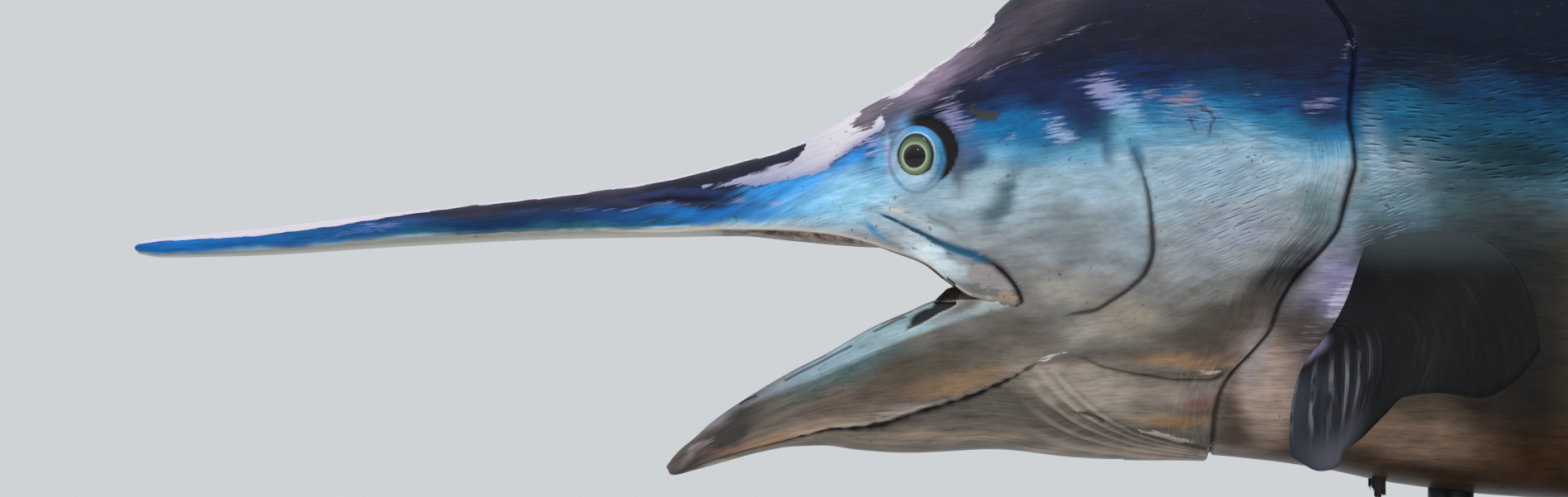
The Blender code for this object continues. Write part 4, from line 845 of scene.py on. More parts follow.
def lay_washes(rows):
    """Lay soft washes over each other: the colour and the amount at each point."""
    colour, amount = np.zeros((len(s), 3)), np.zeros(len(s))
    for at_s, at_h, half_long, half_high, tilt, paint, strength in rows:
        u, v = patch_axes(paint_s, paint_h, (at_s, at_h), (half_long, half_high), tilt)
        covered = strength * np.exp(-0.75 * np.minimum(u * u + v * v, 30.0) ** 1.25)
        colour = colour * (1 - covered)[:, None] + covered[:, None] * np.array(paint)
        amount = amount * (1 - covered) + covered
    return colour / np.maximum(amount, 1e-30)[:, None], amount * (~inside | (s < 0.55))


wash_colour, wash = lay_washes(WASHES)
RIM_PAINTS = [(0.58, (0.15, 0.13, 0.14)), (0.68, (0.19, 0.19, 0.22)), (0.74, (0.26, 0.38, 0.44)),
              (0.85, (0.31, 0.43, 0.47)), (0.93, (0.36, 0.42, 0.42)), (0.97, (0.22, 0.21, 0.19))]
jaw_light = (ease((h - jaw_light_low + 0.006) / 0.015) * ease((0.958 - s) / 0.02) * (h < -0.12)
             * (1 - 0.8 * ease((0.64 - s) / 0.05)))
jaw_light = (jaw_light * (np.abs(h - rim(s)) < 0.06) * (s < MOUTH_CORNER)
             * (1 - 0.85 * spot(s, h, (0.903, -0.13), (0.034, 0.0075), 26)))
rim_paint = np.stack([straight([(at, paint[c]) for at, paint in RIM_PAINTS]) for c in range(3)], axis=1)
print("washes cover", round(100 * float((wash > 0.5).mean())), "% of the points")

# %% Chips and dabs with torn edges
# Each fleck: station, height, half length, half height, tilt, colour, strength. A chip has no strength.
FLECKS = (
    (0.600, -0.302, 0.024, 0.015, 38, (0.025, 0.020, 0.020), 0.95),  # dark mottling of the knob
    (0.613, -0.287, 0.022, 0.004, 38, (0.40, 0.36, 0.35), 0.8),  # pale worn edge of the knob
    # Next row: painted shadow line over the ridge.
    (0.862, -0.0395, 0.026, 0.0019, -19, (0.15, 0.13, 0.14), 0.9),  # brown line over the ridge
    # Next row: painted highlight at the start of the ridge.
    (0.826, -0.0265, 0.026, 0.0030, -17, (0.56, 0.56, 0.50), 0.9),  # pale start of the ridge
    (0.880, -0.066, 0.040, 0.0028, -30, (0.02, 0.10, 0.17), 0.6),  # teal strokes under the groove
    (0.815, -0.252, 0.055, 0.0035, 15, (0.42, 0.33, 0.28), 0.8),  # flaky ledge of the jaw
    (0.700, -0.0165, 0.010, 0.0035, 0, (0.30, 0.34, 0.60), 0.9),  # lilac end of the streak above blue
    # Next row: painted highlight on the bulge of the fin root.
    (1.306, -0.122, 0.014, 0.021, -30, (0.70, 0.68, 0.82), 1.0),  # white of the fin root
    (1.355, 0.005, 0.02, 0.03, -25, (0.30, 0.42, 0.50), 0.6),  # pale strokes behind the gill
    (0.664, -0.017, 0.012, 0.0035, 0, (0.28, 0.28, 0.48), 0.6),  # lilac end of the streak
    (0.55, -0.024, 0.09, 0.0022, 3, (0.16, 0.20, 0.42), 0.6),  # lilac line of the bill
    (0.26, -0.048, 0.05, 0.004, 7, (0.30, 0.33, 0.50), 0.6),  # worn lilac of the bill
    (0.93, 0.121, 0.055, 0.0035, 33, (0.32, 0.27, 0.33), 0.7),  # scuff line of the brow
    (1.01, 0.157, 0.05, 0.003, 23, (0.30, 0.26, 0.31), 0.7),  # scuff line of the crown
    (0.90, 0.10, 0.02, 0.0025, 40, (0.30, 0.25, 0.32), 0.6),  # short scuff of the brow
    (1.314, 0.15, 0.004, 0.022, -12, (0.22, 0.24, 0.34), 0.6),  # pale flecks behind the gill
    (0.894, 0.073, 0.017, 0.014, -35, (0.26, 0.25, 0.42), 0.95),  # lilac behind the eye
    (0.909, 0.043, 0.010, 0.018, -12, (0.07, 0.09, 0.26), 0.7),  # violet by the socket
    (0.993, 0.069, 0.018, 0.010, -30, (0.34, 0.42, 0.62), 0.8),  # white strokes on the blue
    (1.006, 0.052, 0.014, 0.012, -10, (0.33, 0.43, 0.62), 0.8),  # strokes under the blue
    (0.95, 0.050, 0.012, 0.006, 10, (0.25, 0.40, 0.58), 0.6),  # strokes by the eye
    (1.053, 0.104, 0.026, 0.014, -24, (0.30, 0.29, 0.52), 0.9),  # lilac over the valley
    (1.074, 0.083, 0.020, 0.013, -35, (0.24, 0.36, 0.58), 1),  # lilac under it
    (1.103, 0.097, 0.014, 0.006, 5, (0.25, 0.30, 0.48), 0.8),  # lilac speckle
    (1.135, 0.088, 0.022, 0.018, 0, (0.22, 0.18, 0.27), 0.85),  # pink speckle
    (1.15, 0.07, 0.03, 0.012, 0, (0.14, 0.22, 0.42), 0.7),  # lilac speckle lower
    (1.287, 0.083, 0.016, 0.011, 0, (0.22, 0.24, 0.46), 0.85),  # lilac by the gill
    (1.21, 0.105, 0.012, 0.008, -20, (0.20, 0.34, 0.55), 0.5),  # pale strokes of the plate
    (1.262, -0.18, 0.016, 0.045, -25, (0.22, 0.18, 0.19), 0.6),  # scruffy fin root strokes
    (0.805, 0.045, 0.016, 0.010, 40, (0.40, 0.42, 0.66), 0.6),  # lavender under the strip
    (1.205, -0.05, 0.05, 0.03, 20, (0.33, 0.36, 0.45), 0.55),  # lilac strokes of the plate
)
CHIPS = (
    (0.922, 0.077, 0.017, 0.007, -22, (0.042, 0.04, 0.032)),  # brown behind the lilac
    (0.996, -0.182, 0.015, 0.003, 28, (0.55, 0.54, 0.52)),  # white chip of the jaw
    (1.13, -0.27, 0.032, 0.004, -12, (0.5, 0.43, 0.37)),  # white scuff of the throat
    (0.932, -0.1035, 0.027, 0.0125, -20, (0.3, 0.265, 0.255)),  # flaked end plate
    (0.944, -0.1225, 0.016, 0.0035, -4, (0.36, 0.235, 0.165)),  # orange lip end
    (1.174, -0.287, 0.008, 0.004, 0, (0.52, 0.46, 0.4)),  # belly flake
    (1.162, -0.201, 0.023, 0.003, 3, (0.46, 0.38, 0.31)),  # flake of the tan patch
)
CHIP_SOFTNESS = 0.016
STRIP_LOW = [(0.6332, -0.0013), (0.681, 0.0005), (0.7107, 0.0045), (0.7405, 0.0121), (0.7581, 0.0192),
             (0.7745, 0.0345), (0.7995, 0.0506), (0.816, 0.0605), (0.820, 0.0865), (0.8423, 0.1045), (0.9, 0.146),
             (0.92, 0.1575), (0.94, 0.1835)]
STRIP_HIGH = [(0.633, 0.0006), (0.6572, 0.0078), (0.681, 0.0149), (0.6984, 0.0226), (0.7182, 0.0262),
              (0.7298, 0.0391), (0.7406, 0.07), (0.80, 0.2)]
# Share of the bill's height, down from the top, that the white line covers: pale paint with a painted highlight.
BILL_TOP_WHITE_AND_HIGHLIGHT = [(0.0, 0.25), (0.03, 0.15), (0.06, 0.20), (0.13, 0.27), (0.20, 0.23), (0.26, 0.14), (0.34, 0.05),
              (0.46, 0.035), (0.6, 0.035), (0.70, 0.03)]
BILL_PALE = [(0.0, 0.88), (0.13, 0.82), (0.20, 0.79), (0.26, 0.76), (0.34, 0.77), (0.46, 0.81), (0.6, 0.87)]
LAVENDER, WORN_WHITE = (0.27, 0.28, 0.44), (0.62, 0.58, 0.62)


def lay_chip(field, paint):
    """Lay a chip, or one colour per point, where its field is the highest so far."""
    nearer = field > chips
    chips[nearer] = field[nearer]
    chip_colour[nearer] = np.broadcast_to(paint, chip_colour.shape)[nearer]


fleck_colour, flecks = lay_washes(FLECKS)
chip_colour, chips = np.tile(LAVENDER, (len(s), 1)), np.full(len(s), -1.0)
for at_s, at_h, half_long, half_high, tilt, paint in CHIPS:
    u, v = patch_axes(paint_s, paint_h, (at_s, at_h), (half_long, half_high), tilt)
    lay_chip(0.42 + (1 - np.hypot(u, v)) * min(half_long, half_high) / CHIP_SOFTNESS, paint)
strip_rise = h - straight(STRIP_LOW)
strip = 0.5 + np.minimum(strip_rise, straight(STRIP_HIGH) - h) / CHIP_SOFTNESS
island = 0.5 + (1 - np.hypot(((s - 0.802) * 0.74 + (h - 0.0765) * 0.67) / 0.027,
                             ((h - 0.0765) * 0.74 - (s - 0.802) * 0.67) / 0.0098)) * 0.6
strip = np.minimum(strip, 1 - island)
strip = np.where((s > 0.62) & (s < 0.94), strip, -1.0)
thick = np.maximum(bill_thick, 0.004)
crown = (back(s) - h) / thick
# White line along the top of the bill and the crest of the head: partly pale paint, partly a painted highlight.
bill_top_white_and_highlight = np.where(s < 0.74, 0.5 + (straight(BILL_TOP_WHITE_AND_HIGHLIGHT) - crown) * thick / 0.004, -1.0)
bill_low = np.where((s < 0.64) & (h > -0.2), 0.5 + (crown - straight(BILL_PALE)) * thick / 0.012, -1.0)
bill_top_white_and_highlight = np.where(s > 0.9, -1.0, np.maximum(bill_top_white_and_highlight, 0.5 + (0.0022 - (back(s) - h)) / 0.005))
white_share = np.clip(strip_rise / 0.011, 0, 1) * (0.35 + 0.65 * ease((s - 0.68) / 0.10))
white_share = np.maximum(white_share, ease((s - 0.80) / 0.04))[:, None]
low_share = ease((crown - 0.86) / 0.10)[:, None]
bill_pale = np.array((0.32, 0.32, 0.27)) * (1 - low_share) + np.array((0.55, 0.53, 0.47)) * low_share
strip_colour = np.array(LAVENDER) * (1 - white_share) + np.array(WORN_WHITE) * white_share
lay_chip(strip, strip_colour)
# Pale paint and painted highlight along the top of the bill and the crest.
lay_chip(bill_top_white_and_highlight, (0.60, 0.55, 0.60))
lay_chip(bill_low, bill_pale)
chips = np.clip(chips, -0.6, 1.6)
# Painted highlight along the lip, with the pale flaky edges of the jaw chip and the jaw ledge.
lip_highlight_and_pale_edges = groove(h - flank(s) - 0.0006, 0.0024) * (s < 0.955) * ~inside * ease((s - 0.45) / 0.15) * over_corner
lip_highlight_and_pale_edges = np.maximum(lip_highlight_and_pale_edges, np.maximum(chip_lip, 0.8 * jaw_ledge * ~inside))
mouth_paint = inside * ease((s - 0.60) / 0.08)
needle_slope = np.where(s < 1.42, -0.12 * (s - 1.3), -0.12 * 0.12 + 0.16 * (s - 1.42))
hairs = (spot(s, h, (1.20, -0.025), (0.085, 0.06), -12) * ahead * in_plate
         + spot(s, h, (1.355, -0.022), (0.03, 0.05), -20) * ~ahead)
eye_turn = np.arctan2(h - RING_PLACE[1], s - RING_PLACE[0])
eye_lines = np.max([groove(ring_gap + deep, 0.0009) * ease((np.cos(eye_turn - faces) - least) / 0.3)
                    for deep, faces, least in ((0.0028, 0.9, 0.2), (0.0055, 1.6, 0.35), (0.0045, -0.4, 0.5),
                                               (0.0022, 3.3, 0.4))], axis=0)
skin_maps = {"band": band, "aft": aft, "jaw_light": jaw_light, "crease_shade": crease_shade,
             "needles": needles, "by_gill": by_gill, "sweep": sweep, "lining": mouth_paint,
             "lip_groove": lip_groove * (1 - ease((lip_share - 0.66) / 0.14)), "wash": wash,
             "chips": chips, "lip_highlight_and_pale_edges": lip_highlight_and_pale_edges, "fold_at": fold_at, "fold_zone": fold_zone,
             "flecks": flecks, "hairs": hairs, "eye_lines": eye_lines,
             "bristled": 1 - 0.7 * np.clip(1.6 * spot(s, h, (0.985, -0.035), (0.125, 0.095)), 0, 1)}
skin_flows = {"wash_colour": wash_colour, "rim_paint": rim_paint, "fleck_colour": fleck_colour,
              "chip_colour": chip_colour, "needle_flow": np.stack((s, girth + needle_slope, 0 * s), axis=1),
              "body_flow": np.stack((s, girth, place[:, 1]), axis=1),
              "gill_flow": np.stack((h, gill_gap, place[:, 1]), axis=1)}
print("paint maps", sorted(skin_maps))

# %% Make the skin an object
def make_piece(name, bm, paints, replaced):
    """Turn a bmesh into a smooth-shaded piece that rides on the statue and stands for its solids."""
    mesh = bpy.data.meshes.new(name)
    bm.to_mesh(mesh)
    bm.free()
    mesh.shade_smooth()
    for paint in paints:
        mesh.materials.append(paint)
    piece = bpy.data.objects.new(name, mesh)
    bpy.context.scene.collection.objects.link(piece)
    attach(piece, "root")
    if replaced:
        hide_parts(*replaced)
    print(name, len(mesh.polygons), "faces")
    return piece


def store_maps(piece, maps, flows):
    """Keep each paint map and flow on the points of the mesh, where the shader reads it."""
    for kind, field, found in (("FLOAT", "value", maps), ("FLOAT_VECTOR", "vector", flows)):
        for name, values in found.items():
            kept = piece.data.attributes.new(name, kind, "POINT")
            kept.data.foreach_set(field, values.astype(np.float32).ravel())


# %% [markdown]
# Real paint on a statue is never one flat colour: bristles leave streaks, chips have torn edges and dirt
# stays low. Each effect is a node group with its own inputs, made once and used by several paints. A
# short helper adds a node and feeds its sockets, so that a material reads like a recipe.

# %% Helpers for shader nodes
def put(tree, kind, feeds=None, **settings):
    """Add a shader node, set its options and feed its sockets with values or other sockets."""
    made = tree.nodes.new("ShaderNode" + kind)
    for key, value in settings.items():
        setattr(made, key, value)
    for socket, value in (feeds or {}).items():
        if isinstance(value, bpy.types.NodeSocket):
            tree.links.new(value, made.inputs[socket])
        else:
            made.inputs[socket].default_value = value
    return made


def calc(tree, operation, *values, clamp=False):
    """One step of arithmetic on values or sockets."""
    return put(tree, "Math", dict(enumerate(values)), operation=operation, use_clamp=clamp).outputs[0]


def times(tree, first, second):
    """The product of two values or sockets."""
    return calc(tree, "MULTIPLY", first, second)


def swing(tree, value, gain, base):
    """Add to the base how far a value swings from 0.5, times the gain."""
    return calc(tree, "MULTIPLY_ADD", calc(tree, "SUBTRACT", value, 0.5), gain, base)


def clouds(tree, vector, scale, detail, **more):
    """Smooth random values near 0.5 over a flow or over the places on a piece."""
    return put(tree, "TexNoise", {"Vector": vector, "Scale": scale, "Detail": detail, **more}).outputs[0]


def own_places(tree):
    """The places on a piece, in its own coordinates."""
    return put(tree, "TexCoord").outputs["Object"]


def read_map(tree, name):
    """The value of a paint map at each point."""
    return put(tree, "Attribute", attribute_name=name).outputs["Fac"]


def read_flow(tree, name):
    """The place of each point along a flow of strokes."""
    return put(tree, "Attribute", attribute_name=name).outputs["Vector"]


def layer(tree, share, under, over):
    """Lay one colour over another where the share says so."""
    return put(tree, "Mix", {0: share, 6: under, 7: over}, data_type="RGBA").outputs[2]


def glaze(tree, colour, share, strength, paint):
    """Lay one plain paint over a colour, as strong as the share times the strength."""
    return layer(tree, times(tree, share, strength), colour, (*paint, 1.0))


def fade_in(tree, value, low, high):
    """0 below the low value and 1 over the high one, with a smooth rise."""
    return put(tree, "MapRange", {0: value, 1: low, 2: high}, interpolation_type="SMOOTHSTEP").outputs[0]


def map_fade(tree, name, low, high):
    """A paint map faded in between two of its values."""
    return fade_in(tree, read_map(tree, name), low, high)


def colour_steps(tree, value, stops):
    """Paint colours from first to last along a value from 0 to 1."""
    ramp = put(tree, "ValToRGB", {0: value})
    ramp.color_ramp.interpolation = "EASE"
    while len(ramp.color_ramp.elements) < len(stops):
        ramp.color_ramp.elements.new(0.5)
    for element, (position, colour) in zip(ramp.color_ramp.elements, stops):
        element.position = position
        element.color = (*colour, 1.0)
    return ramp.outputs["Color"]


def stretched(tree, vector, scale, turn=0.0):
    """Stretch a flow so that a pattern on it is long one way and narrow the other."""
    return put(tree, "Mapping", {"Vector": vector, "Scale": scale, "Rotation": (0.0, 0.0, turn)}).outputs[0]


def join_paint(tree, shader, colour, roughness, height, strength, depth):
    """Join a colour, a roughness and a bump to the shader."""
    bump = put(tree, "Bump", {"Height": height, "Strength": strength, "Distance": depth}).outputs[0]
    for socket, source in (("Base Color", colour), ("Roughness", roughness), ("Normal", bump)):
        tree.links.new(source, shader.inputs[socket])


def new_group(name, inputs, outputs):
    """Start a node group with named inputs, each with its first value, and named outputs."""
    group = bpy.data.node_groups.new(name, "ShaderNodeTree")
    for label, start in inputs.items():
        kind = "NodeSocketVector" if isinstance(start, tuple) else "NodeSocketFloat"
        socket = group.interface.new_socket(name=label, in_out="INPUT", socket_type=kind)
        socket.default_value = start
    for label in outputs:
        group.interface.new_socket(name=label, in_out="OUTPUT", socket_type="NodeSocketFloat")
    return group, group.nodes.new("NodeGroupInput").outputs, group.nodes.new("NodeGroupOutput").inputs


def use_group(tree, group, feeds):
    """Place a node group in a material and feed it."""
    return put(tree, "Group", feeds, node_tree=group).outputs


# %% Bristle strokes, torn edges, needle scales and crackle
bristle_strokes, given, result = new_group("bristle_strokes", {"Flow": (0.0, 0.0, 0.0)}, ["Broad", "Fine"])
for label, scale, detail, roughness, distortion in (("Broad", (8.0, 110.0, 30.0), 4.0, 0.6, 0.4),
                                                    ("Fine", (36.0, 560.0, 90.0), 3.0, 0.65, 0.3)):
    streaks = clouds(bristle_strokes, stretched(bristle_strokes, given["Flow"], scale), 1.0, detail,
                     Roughness=roughness, Distortion=distortion)
    bristle_strokes.links.new(streaks, result[label])

torn_edge, given, result = new_group("torn_edge", {"Amount": 0.0, "Flow": (0.0, 0.0, 0.0), "Scale": 60.0,
                                                   "Raggedness": 0.6}, ["Mask", "Rim"])
coarse = clouds(torn_edge, given["Flow"], given["Scale"], 6.0, Roughness=0.62, Distortion=0.6)
shifted = swing(torn_edge, coarse, given["Raggedness"], given["Amount"])
torn_edge.links.new(fade_in(torn_edge, shifted, 0.46, 0.54), result["Mask"])
rim_high = calc(torn_edge, "SUBTRACT", fade_in(torn_edge, shifted, 0.42, 0.48), fade_in(torn_edge, shifted, 0.5, 0.54))
torn_edge.links.new(rim_high, result["Rim"])

needle_scales, given, result = new_group("needle_scales", {"Flow": (0.0, 0.0, 0.0), "Density": 0.5},
                                         ["Dash", "Shine"])
bent = put(needle_scales, "TexNoise", {"Vector": given["Flow"], "Scale": 11.0, "Detail": 2.0})
wobble = put(needle_scales, "VectorMath", {0: bent.outputs["Color"], 1: (0.012, 0.012, 0.0)}, operation="MULTIPLY")
moved = put(needle_scales, "VectorMath", {0: given["Flow"], 1: wobble.outputs[0]}, operation="ADD")
scaled = put(needle_scales, "VectorMath", {0: moved.outputs[0], 1: (48.0, 160.0, 0.0)}, operation="MULTIPLY")
cells = put(needle_scales, "TexVoronoi", {"Vector": scaled.outputs[0], "Scale": 1.0, "Randomness": 0.8},
            feature="F1", voronoi_dimensions="2D")
from_cell = put(needle_scales, "VectorMath", {0: scaled.outputs[0], 1: cells.outputs["Position"]},
                operation="SUBTRACT").outputs[0]
off = put(needle_scales, "SeparateXYZ", {0: from_cell}).outputs
pick = put(needle_scales, "SeparateColor", {0: cells.outputs["Color"]}).outputs[0]
chosen = fade_in(needle_scales, calc(needle_scales, "SUBTRACT", given["Density"], pick), 0.0, 0.05)
off_end = calc(needle_scales, "ABSOLUTE", off[0])
ends = calc(needle_scales, "SUBTRACT", 1.0, fade_in(needle_scales, off_end, 0.36, 0.56))
taper = times(needle_scales, calc(needle_scales, "POWER", off_end, 2.0), 0.5)
for label, shift in (("Dash", 0.0), ("Shine", 0.3)):
    off_side = calc(needle_scales, "ABSOLUTE", calc(needle_scales, "SUBTRACT", off[1], shift))
    thin = calc(needle_scales, "ADD", taper, off_side)
    line = calc(needle_scales, "SUBTRACT", 1.0, fade_in(needle_scales, thin, 0.07, 0.22))
    drawn = times(needle_scales, times(needle_scales, line, ends), chosen)
    needle_scales.links.new(drawn, result[label])

paint_crackle, given, result = new_group("paint_crackle", {"Flow": (0.0, 0.0, 0.0), "Scale": 40.0, "Amount": 0.3},
                                         ["Crack"])
cells = put(paint_crackle, "TexVoronoi", {"Vector": given["Flow"], "Scale": given["Scale"], "Randomness": 1.0},
            feature="DISTANCE_TO_EDGE")
where = clouds(paint_crackle, given["Flow"], 9.0, 3.0)
line = calc(paint_crackle, "SUBTRACT", 1.0, fade_in(paint_crackle, cells.outputs["Distance"], 0.004, 0.022))
patchy = fade_in(paint_crackle, calc(paint_crackle, "ADD", where, given["Amount"]), 0.78, 0.86)
paint_crackle.links.new(times(paint_crackle, line, patchy), result["Crack"])
print("shader groups", [group.name for group in bpy.data.node_groups])

# %% [markdown]
# The skin's paint goes on as the painter would lay it: the bands first, shifted by the strokes so that
# each band streaks into the next, then azure by the eye, silver chips, violet on the brow, warm stains,
# and last the painted shade in the creases. Strokes follow the body, but turn along the rear of the gill plate.

# %% The paint of the skin
HEAD_BANDS = [(0.0, (0.008, 0.008, 0.017)), (0.14, (0.006, 0.009, 0.027)), (0.20, (0.004, 0.022, 0.09)),
              (0.28, (0.005, 0.072, 0.21)), (0.37, (0.018, 0.15, 0.30)), (0.47, (0.135, 0.33, 0.48)),
              (0.56, (0.31, 0.43, 0.50)), (0.67, (0.27, 0.30, 0.32)), (0.79, (0.17, 0.16, 0.145)),
              (0.87, (0.10, 0.085, 0.07)), (1.0, (0.17, 0.145, 0.115))]
TRUNK_BANDS = [(0.0, (0.003, 0.005, 0.012)), (0.165, (0.003, 0.006, 0.017)), (0.23, (0.002, 0.012, 0.045)),
               (0.31, (0.003, 0.042, 0.105)), (0.40, (0.009, 0.077, 0.145)), (0.48, (0.06, 0.14, 0.19)),
               (0.58, (0.06, 0.12, 0.15)), (0.70, (0.055, 0.075, 0.08)), (0.84, (0.12, 0.09, 0.065)),
               (1.0, (0.055, 0.030, 0.018))]


def start_paint(name):
    """A new material with its tree and its Principled shader."""
    made = bpy.data.materials.new(name)
    made.use_nodes = True
    return made, made.node_tree, made.node_tree.nodes["Principled BSDF"]


skin_paint, tree, shader = start_paint("skin_paint")
body = read_flow(tree, "body_flow")
along_body = use_group(tree, bristle_strokes, {"Flow": body})
along_gill = use_group(tree, bristle_strokes, {"Flow": read_flow(tree, "gill_flow")})
across = use_group(tree, bristle_strokes, {"Flow": stretched(tree, body, (1.0, 1.0, 1.0), 0.45)})
strokes = []
for kind in ("Broad", "Fine"):
    swept = put(tree, "Mix", {0: read_map(tree, "sweep"), 2: along_body[kind], 3: across[kind]}).outputs[0]
    strokes.append(put(tree, "Mix", {0: read_map(tree, "by_gill"), 2: swept, 3: along_gill[kind]}).outputs[0])
cloud = clouds(tree, stretched(tree, body, (5.0, 14.0, 8.0)), 1.0, 5.0)
spread = swing(tree, strokes[0], 0.8, read_map(tree, "band"))
spread = swing(tree, strokes[1], 0.6, spread)
spread = swing(tree, cloud, 1.0, spread)
spread = calc(tree, "DIVIDE", spread, 6.0)
colour = layer(tree, read_map(tree, "aft"), colour_steps(tree, spread, HEAD_BANDS),
               colour_steps(tree, spread, TRUNK_BANDS))


def wash_over(colour, amount, paint, strength):
    """Lay a thin paint over the skin with a soft, streaked edge."""
    streaked = swing(tree, strokes[0], 0.7, amount)
    return layer(tree, times(tree, fade_in(tree, streaked, 0.12, 0.88), strength), colour, paint)


mottle = clouds(tree, stretched(tree, body, (26.0, 62.0, 30.0)), 1.0, 5.0, Roughness=0.64)
bristled = read_map(tree, "bristled")
grain = calc(tree, "MULTIPLY_ADD", times(tree, calc(tree, "SUBTRACT", strokes[1], 0.5), bristled), 1.1, 1.0)
grain = swing(tree, mottle, 1.5, grain)
speck = clouds(tree, own_places(tree), 150.0, 2.0)
speck = times(tree, fade_in(tree, speck, 0.685, 0.72), fade_in(tree, cloud, 0.45, 0.6))
colour = wash_over(colour, read_map(tree, "wash"), read_flow(tree, "wash_colour"), 0.92)
colour = wash_over(colour, read_map(tree, "jaw_light"), read_flow(tree, "rim_paint"), 0.95)
colour = put(tree, "VectorMath", {0: colour, 3: grain}, operation="SCALE").outputs[0]
lip_teal = times(tree, read_map(tree, "lip_groove"), fade_in(tree, mottle, 0.34, 0.5))
colour = wash_over(colour, lip_teal, (0.008, 0.10, 0.19, 1.0), 0.95)
wave = calc(tree, "COSINE", times(tree, read_map(tree, "fold_at"), 2 * pi))
crest = times(tree, fade_in(tree, wave, 0.0, 1.0), read_map(tree, "fold_zone"))
dip = fade_in(tree, times(tree, wave, -1.0), 0.0, 1.0)
dip = times(tree, dip, read_map(tree, "fold_zone"))
# Painted highlight on the crests of the throat folds and painted shade in their troughs.
colour = glaze(tree, colour, crest, 0.28, (0.52, 0.45, 0.38))
colour = glaze(tree, colour, dip, 0.3, (0.12, 0.085, 0.055))
flecked = clouds(tree, stretched(tree, body, (26.0, 300.0, 60.0)), 1.0, 4.0, Roughness=0.7)
fleck = swing(tree, flecked, 2.6, times(tree, read_map(tree, "flecks"), 0.62))
fleck = times(tree, fade_in(tree, fleck, 0.22, 0.72), map_fade(tree, "flecks", 0.02, 0.45))
colour = layer(tree, times(tree, fleck, 0.85), colour, read_flow(tree, "fleck_colour"))
colour = glaze(tree, colour, read_map(tree, "eye_lines"), 0.65, (0.02, 0.17, 0.33))
amount = swing(tree, strokes[1], 0.45, read_map(tree, "chips"))
torn = use_group(tree, torn_edge, {"Amount": amount, "Flow": stretched(tree, body, (0.55, 1.6, 1.0)), "Scale": 55.0,
                                   "Raggedness": 1.25})
chip_tone = swing(tree, strokes[1], 0.7, 1.0)
chip_paint = put(tree, "VectorMath", {0: read_flow(tree, "chip_colour"), 3: chip_tone}, operation="SCALE").outputs[0]
colour = layer(tree, times(tree, torn["Mask"], 0.9), colour, chip_paint)
# Painted highlight on the lip and pale paint on the flaky edges.
colour = glaze(tree, colour, read_map(tree, "lip_highlight_and_pale_edges"), 0.8, (0.60, 0.54, 0.44))
scales = use_group(tree, needle_scales, {"Flow": read_flow(tree, "needle_flow"), "Density": 0.9})
needle_map = times(tree, read_map(tree, "needles"), fade_in(tree, mottle, 0.42, 0.56))
dash = times(tree, scales["Dash"], needle_map)
shine = times(tree, scales["Shine"], needle_map)
lighter = put(tree, "VectorMath", {0: colour, 1: (2.1, 1.9, 1.7), 2: (0.004, 0.008, 0.012)},
              operation="MULTIPLY_ADD").outputs[0]
colour = layer(tree, times(tree, shine, 0.5), colour, lighter)
colour = glaze(tree, colour, dash, 0.95, (0.003, 0.006, 0.014))
hair_map = times(tree, read_map(tree, "hairs"), fade_in(tree, mottle, 0.38, 0.54))
hair_flow = put(tree, "Mapping", {"Vector": body, "Rotation": (0, 0, 0.5), "Scale": (1.0, 1.7, 1.0)}).outputs[0]
hair_across = use_group(tree, needle_scales, {"Flow": hair_flow, "Density": 0.8})
gill_hair_flow = stretched(tree, read_flow(tree, "gill_flow"), (1.0, 1.4, 1.0))
hair_gill = use_group(tree, needle_scales, {"Flow": gill_hair_flow, "Density": 0.7})
hair, pale_hair = [times(tree, put(tree, "Mix", {0: read_map(tree, "by_gill"), 2: hair_across[kind],
                                                 3: hair_gill[kind]}).outputs[0], hair_map)
                   for kind in ("Dash", "Shine")]
colour = glaze(tree, colour, pale_hair, 0.5, (0.44, 0.52, 0.62))
colour = glaze(tree, colour, hair, 0.85, (0.045, 0.055, 0.075))
colour = glaze(tree, colour, speck, 0.55, (0.03, 0.03, 0.035))
crackle = use_group(tree, paint_crackle, {"Flow": body, "Scale": 26.0, "Amount": 0.12})["Crack"]
colour = glaze(tree, colour, crackle, 0.5, (0.05, 0.05, 0.06))
old_paint = clouds(tree, own_places(tree), 75.0, 5.0, Roughness=0.7)
colour = layer(tree, read_map(tree, "lining"), colour, colour_steps(tree, old_paint, [
    (0.36, (0.035, 0.020, 0.014)), (0.5, (0.17, 0.115, 0.085)), (0.64, (0.40, 0.31, 0.24))]))
# Painted shade, near black, laid last into the creases and hollows.
colour = layer(tree, read_map(tree, "crease_shade"), colour, (0.013, 0.010, 0.009, 1.0))
sheen = calc(tree, "MULTIPLY_ADD", strokes[1], 0.18, 0.26)
sheen = calc(tree, "MULTIPLY_ADD", read_map(tree, "crease_shade"), 0.3, sheen, clamp=True)
height = times(tree, calc(tree, "MULTIPLY_ADD", strokes[1], 0.5, times(tree, strokes[0], 0.35)), bristled)
height = calc(tree, "MULTIPLY_ADD", torn["Rim"], 0.5, height)
sunk = calc(tree, "ADD", calc(tree, "MAXIMUM", dash, hair), crackle)
height = calc(tree, "SUBTRACT", height, times(tree, sunk, 0.45))
height = calc(tree, "MULTIPLY_ADD", shine, 0.2, height)
height = calc(tree, "MULTIPLY_ADD", calc(tree, "SUBTRACT", crest, dip), 0.6, height)
join_paint(tree, shader, colour, sheen, height, 0.45, 0.0012)
shader.inputs["Specular IOR Level"].default_value = 0.15
shader.inputs["Coat Weight"].default_value = 0.04
shader.inputs["Coat Roughness"].default_value = 0.2

for kept, layer_here in ((shell.verts.layers.float_vector, start_layer), (shell.verts.layers.float, girth_layer)):
    kept.remove(layer_here)
shell.verts.layers.float.remove(shell.verts.layers.float["mouth"])
skin = make_piece("painted_skin", shell, [skin_paint],
                  ["bill", "head", "lower_jaw", "trunk_front", "trunk_rear", "tail_stock"])
store_maps(skin, skin_maps, skin_flows)

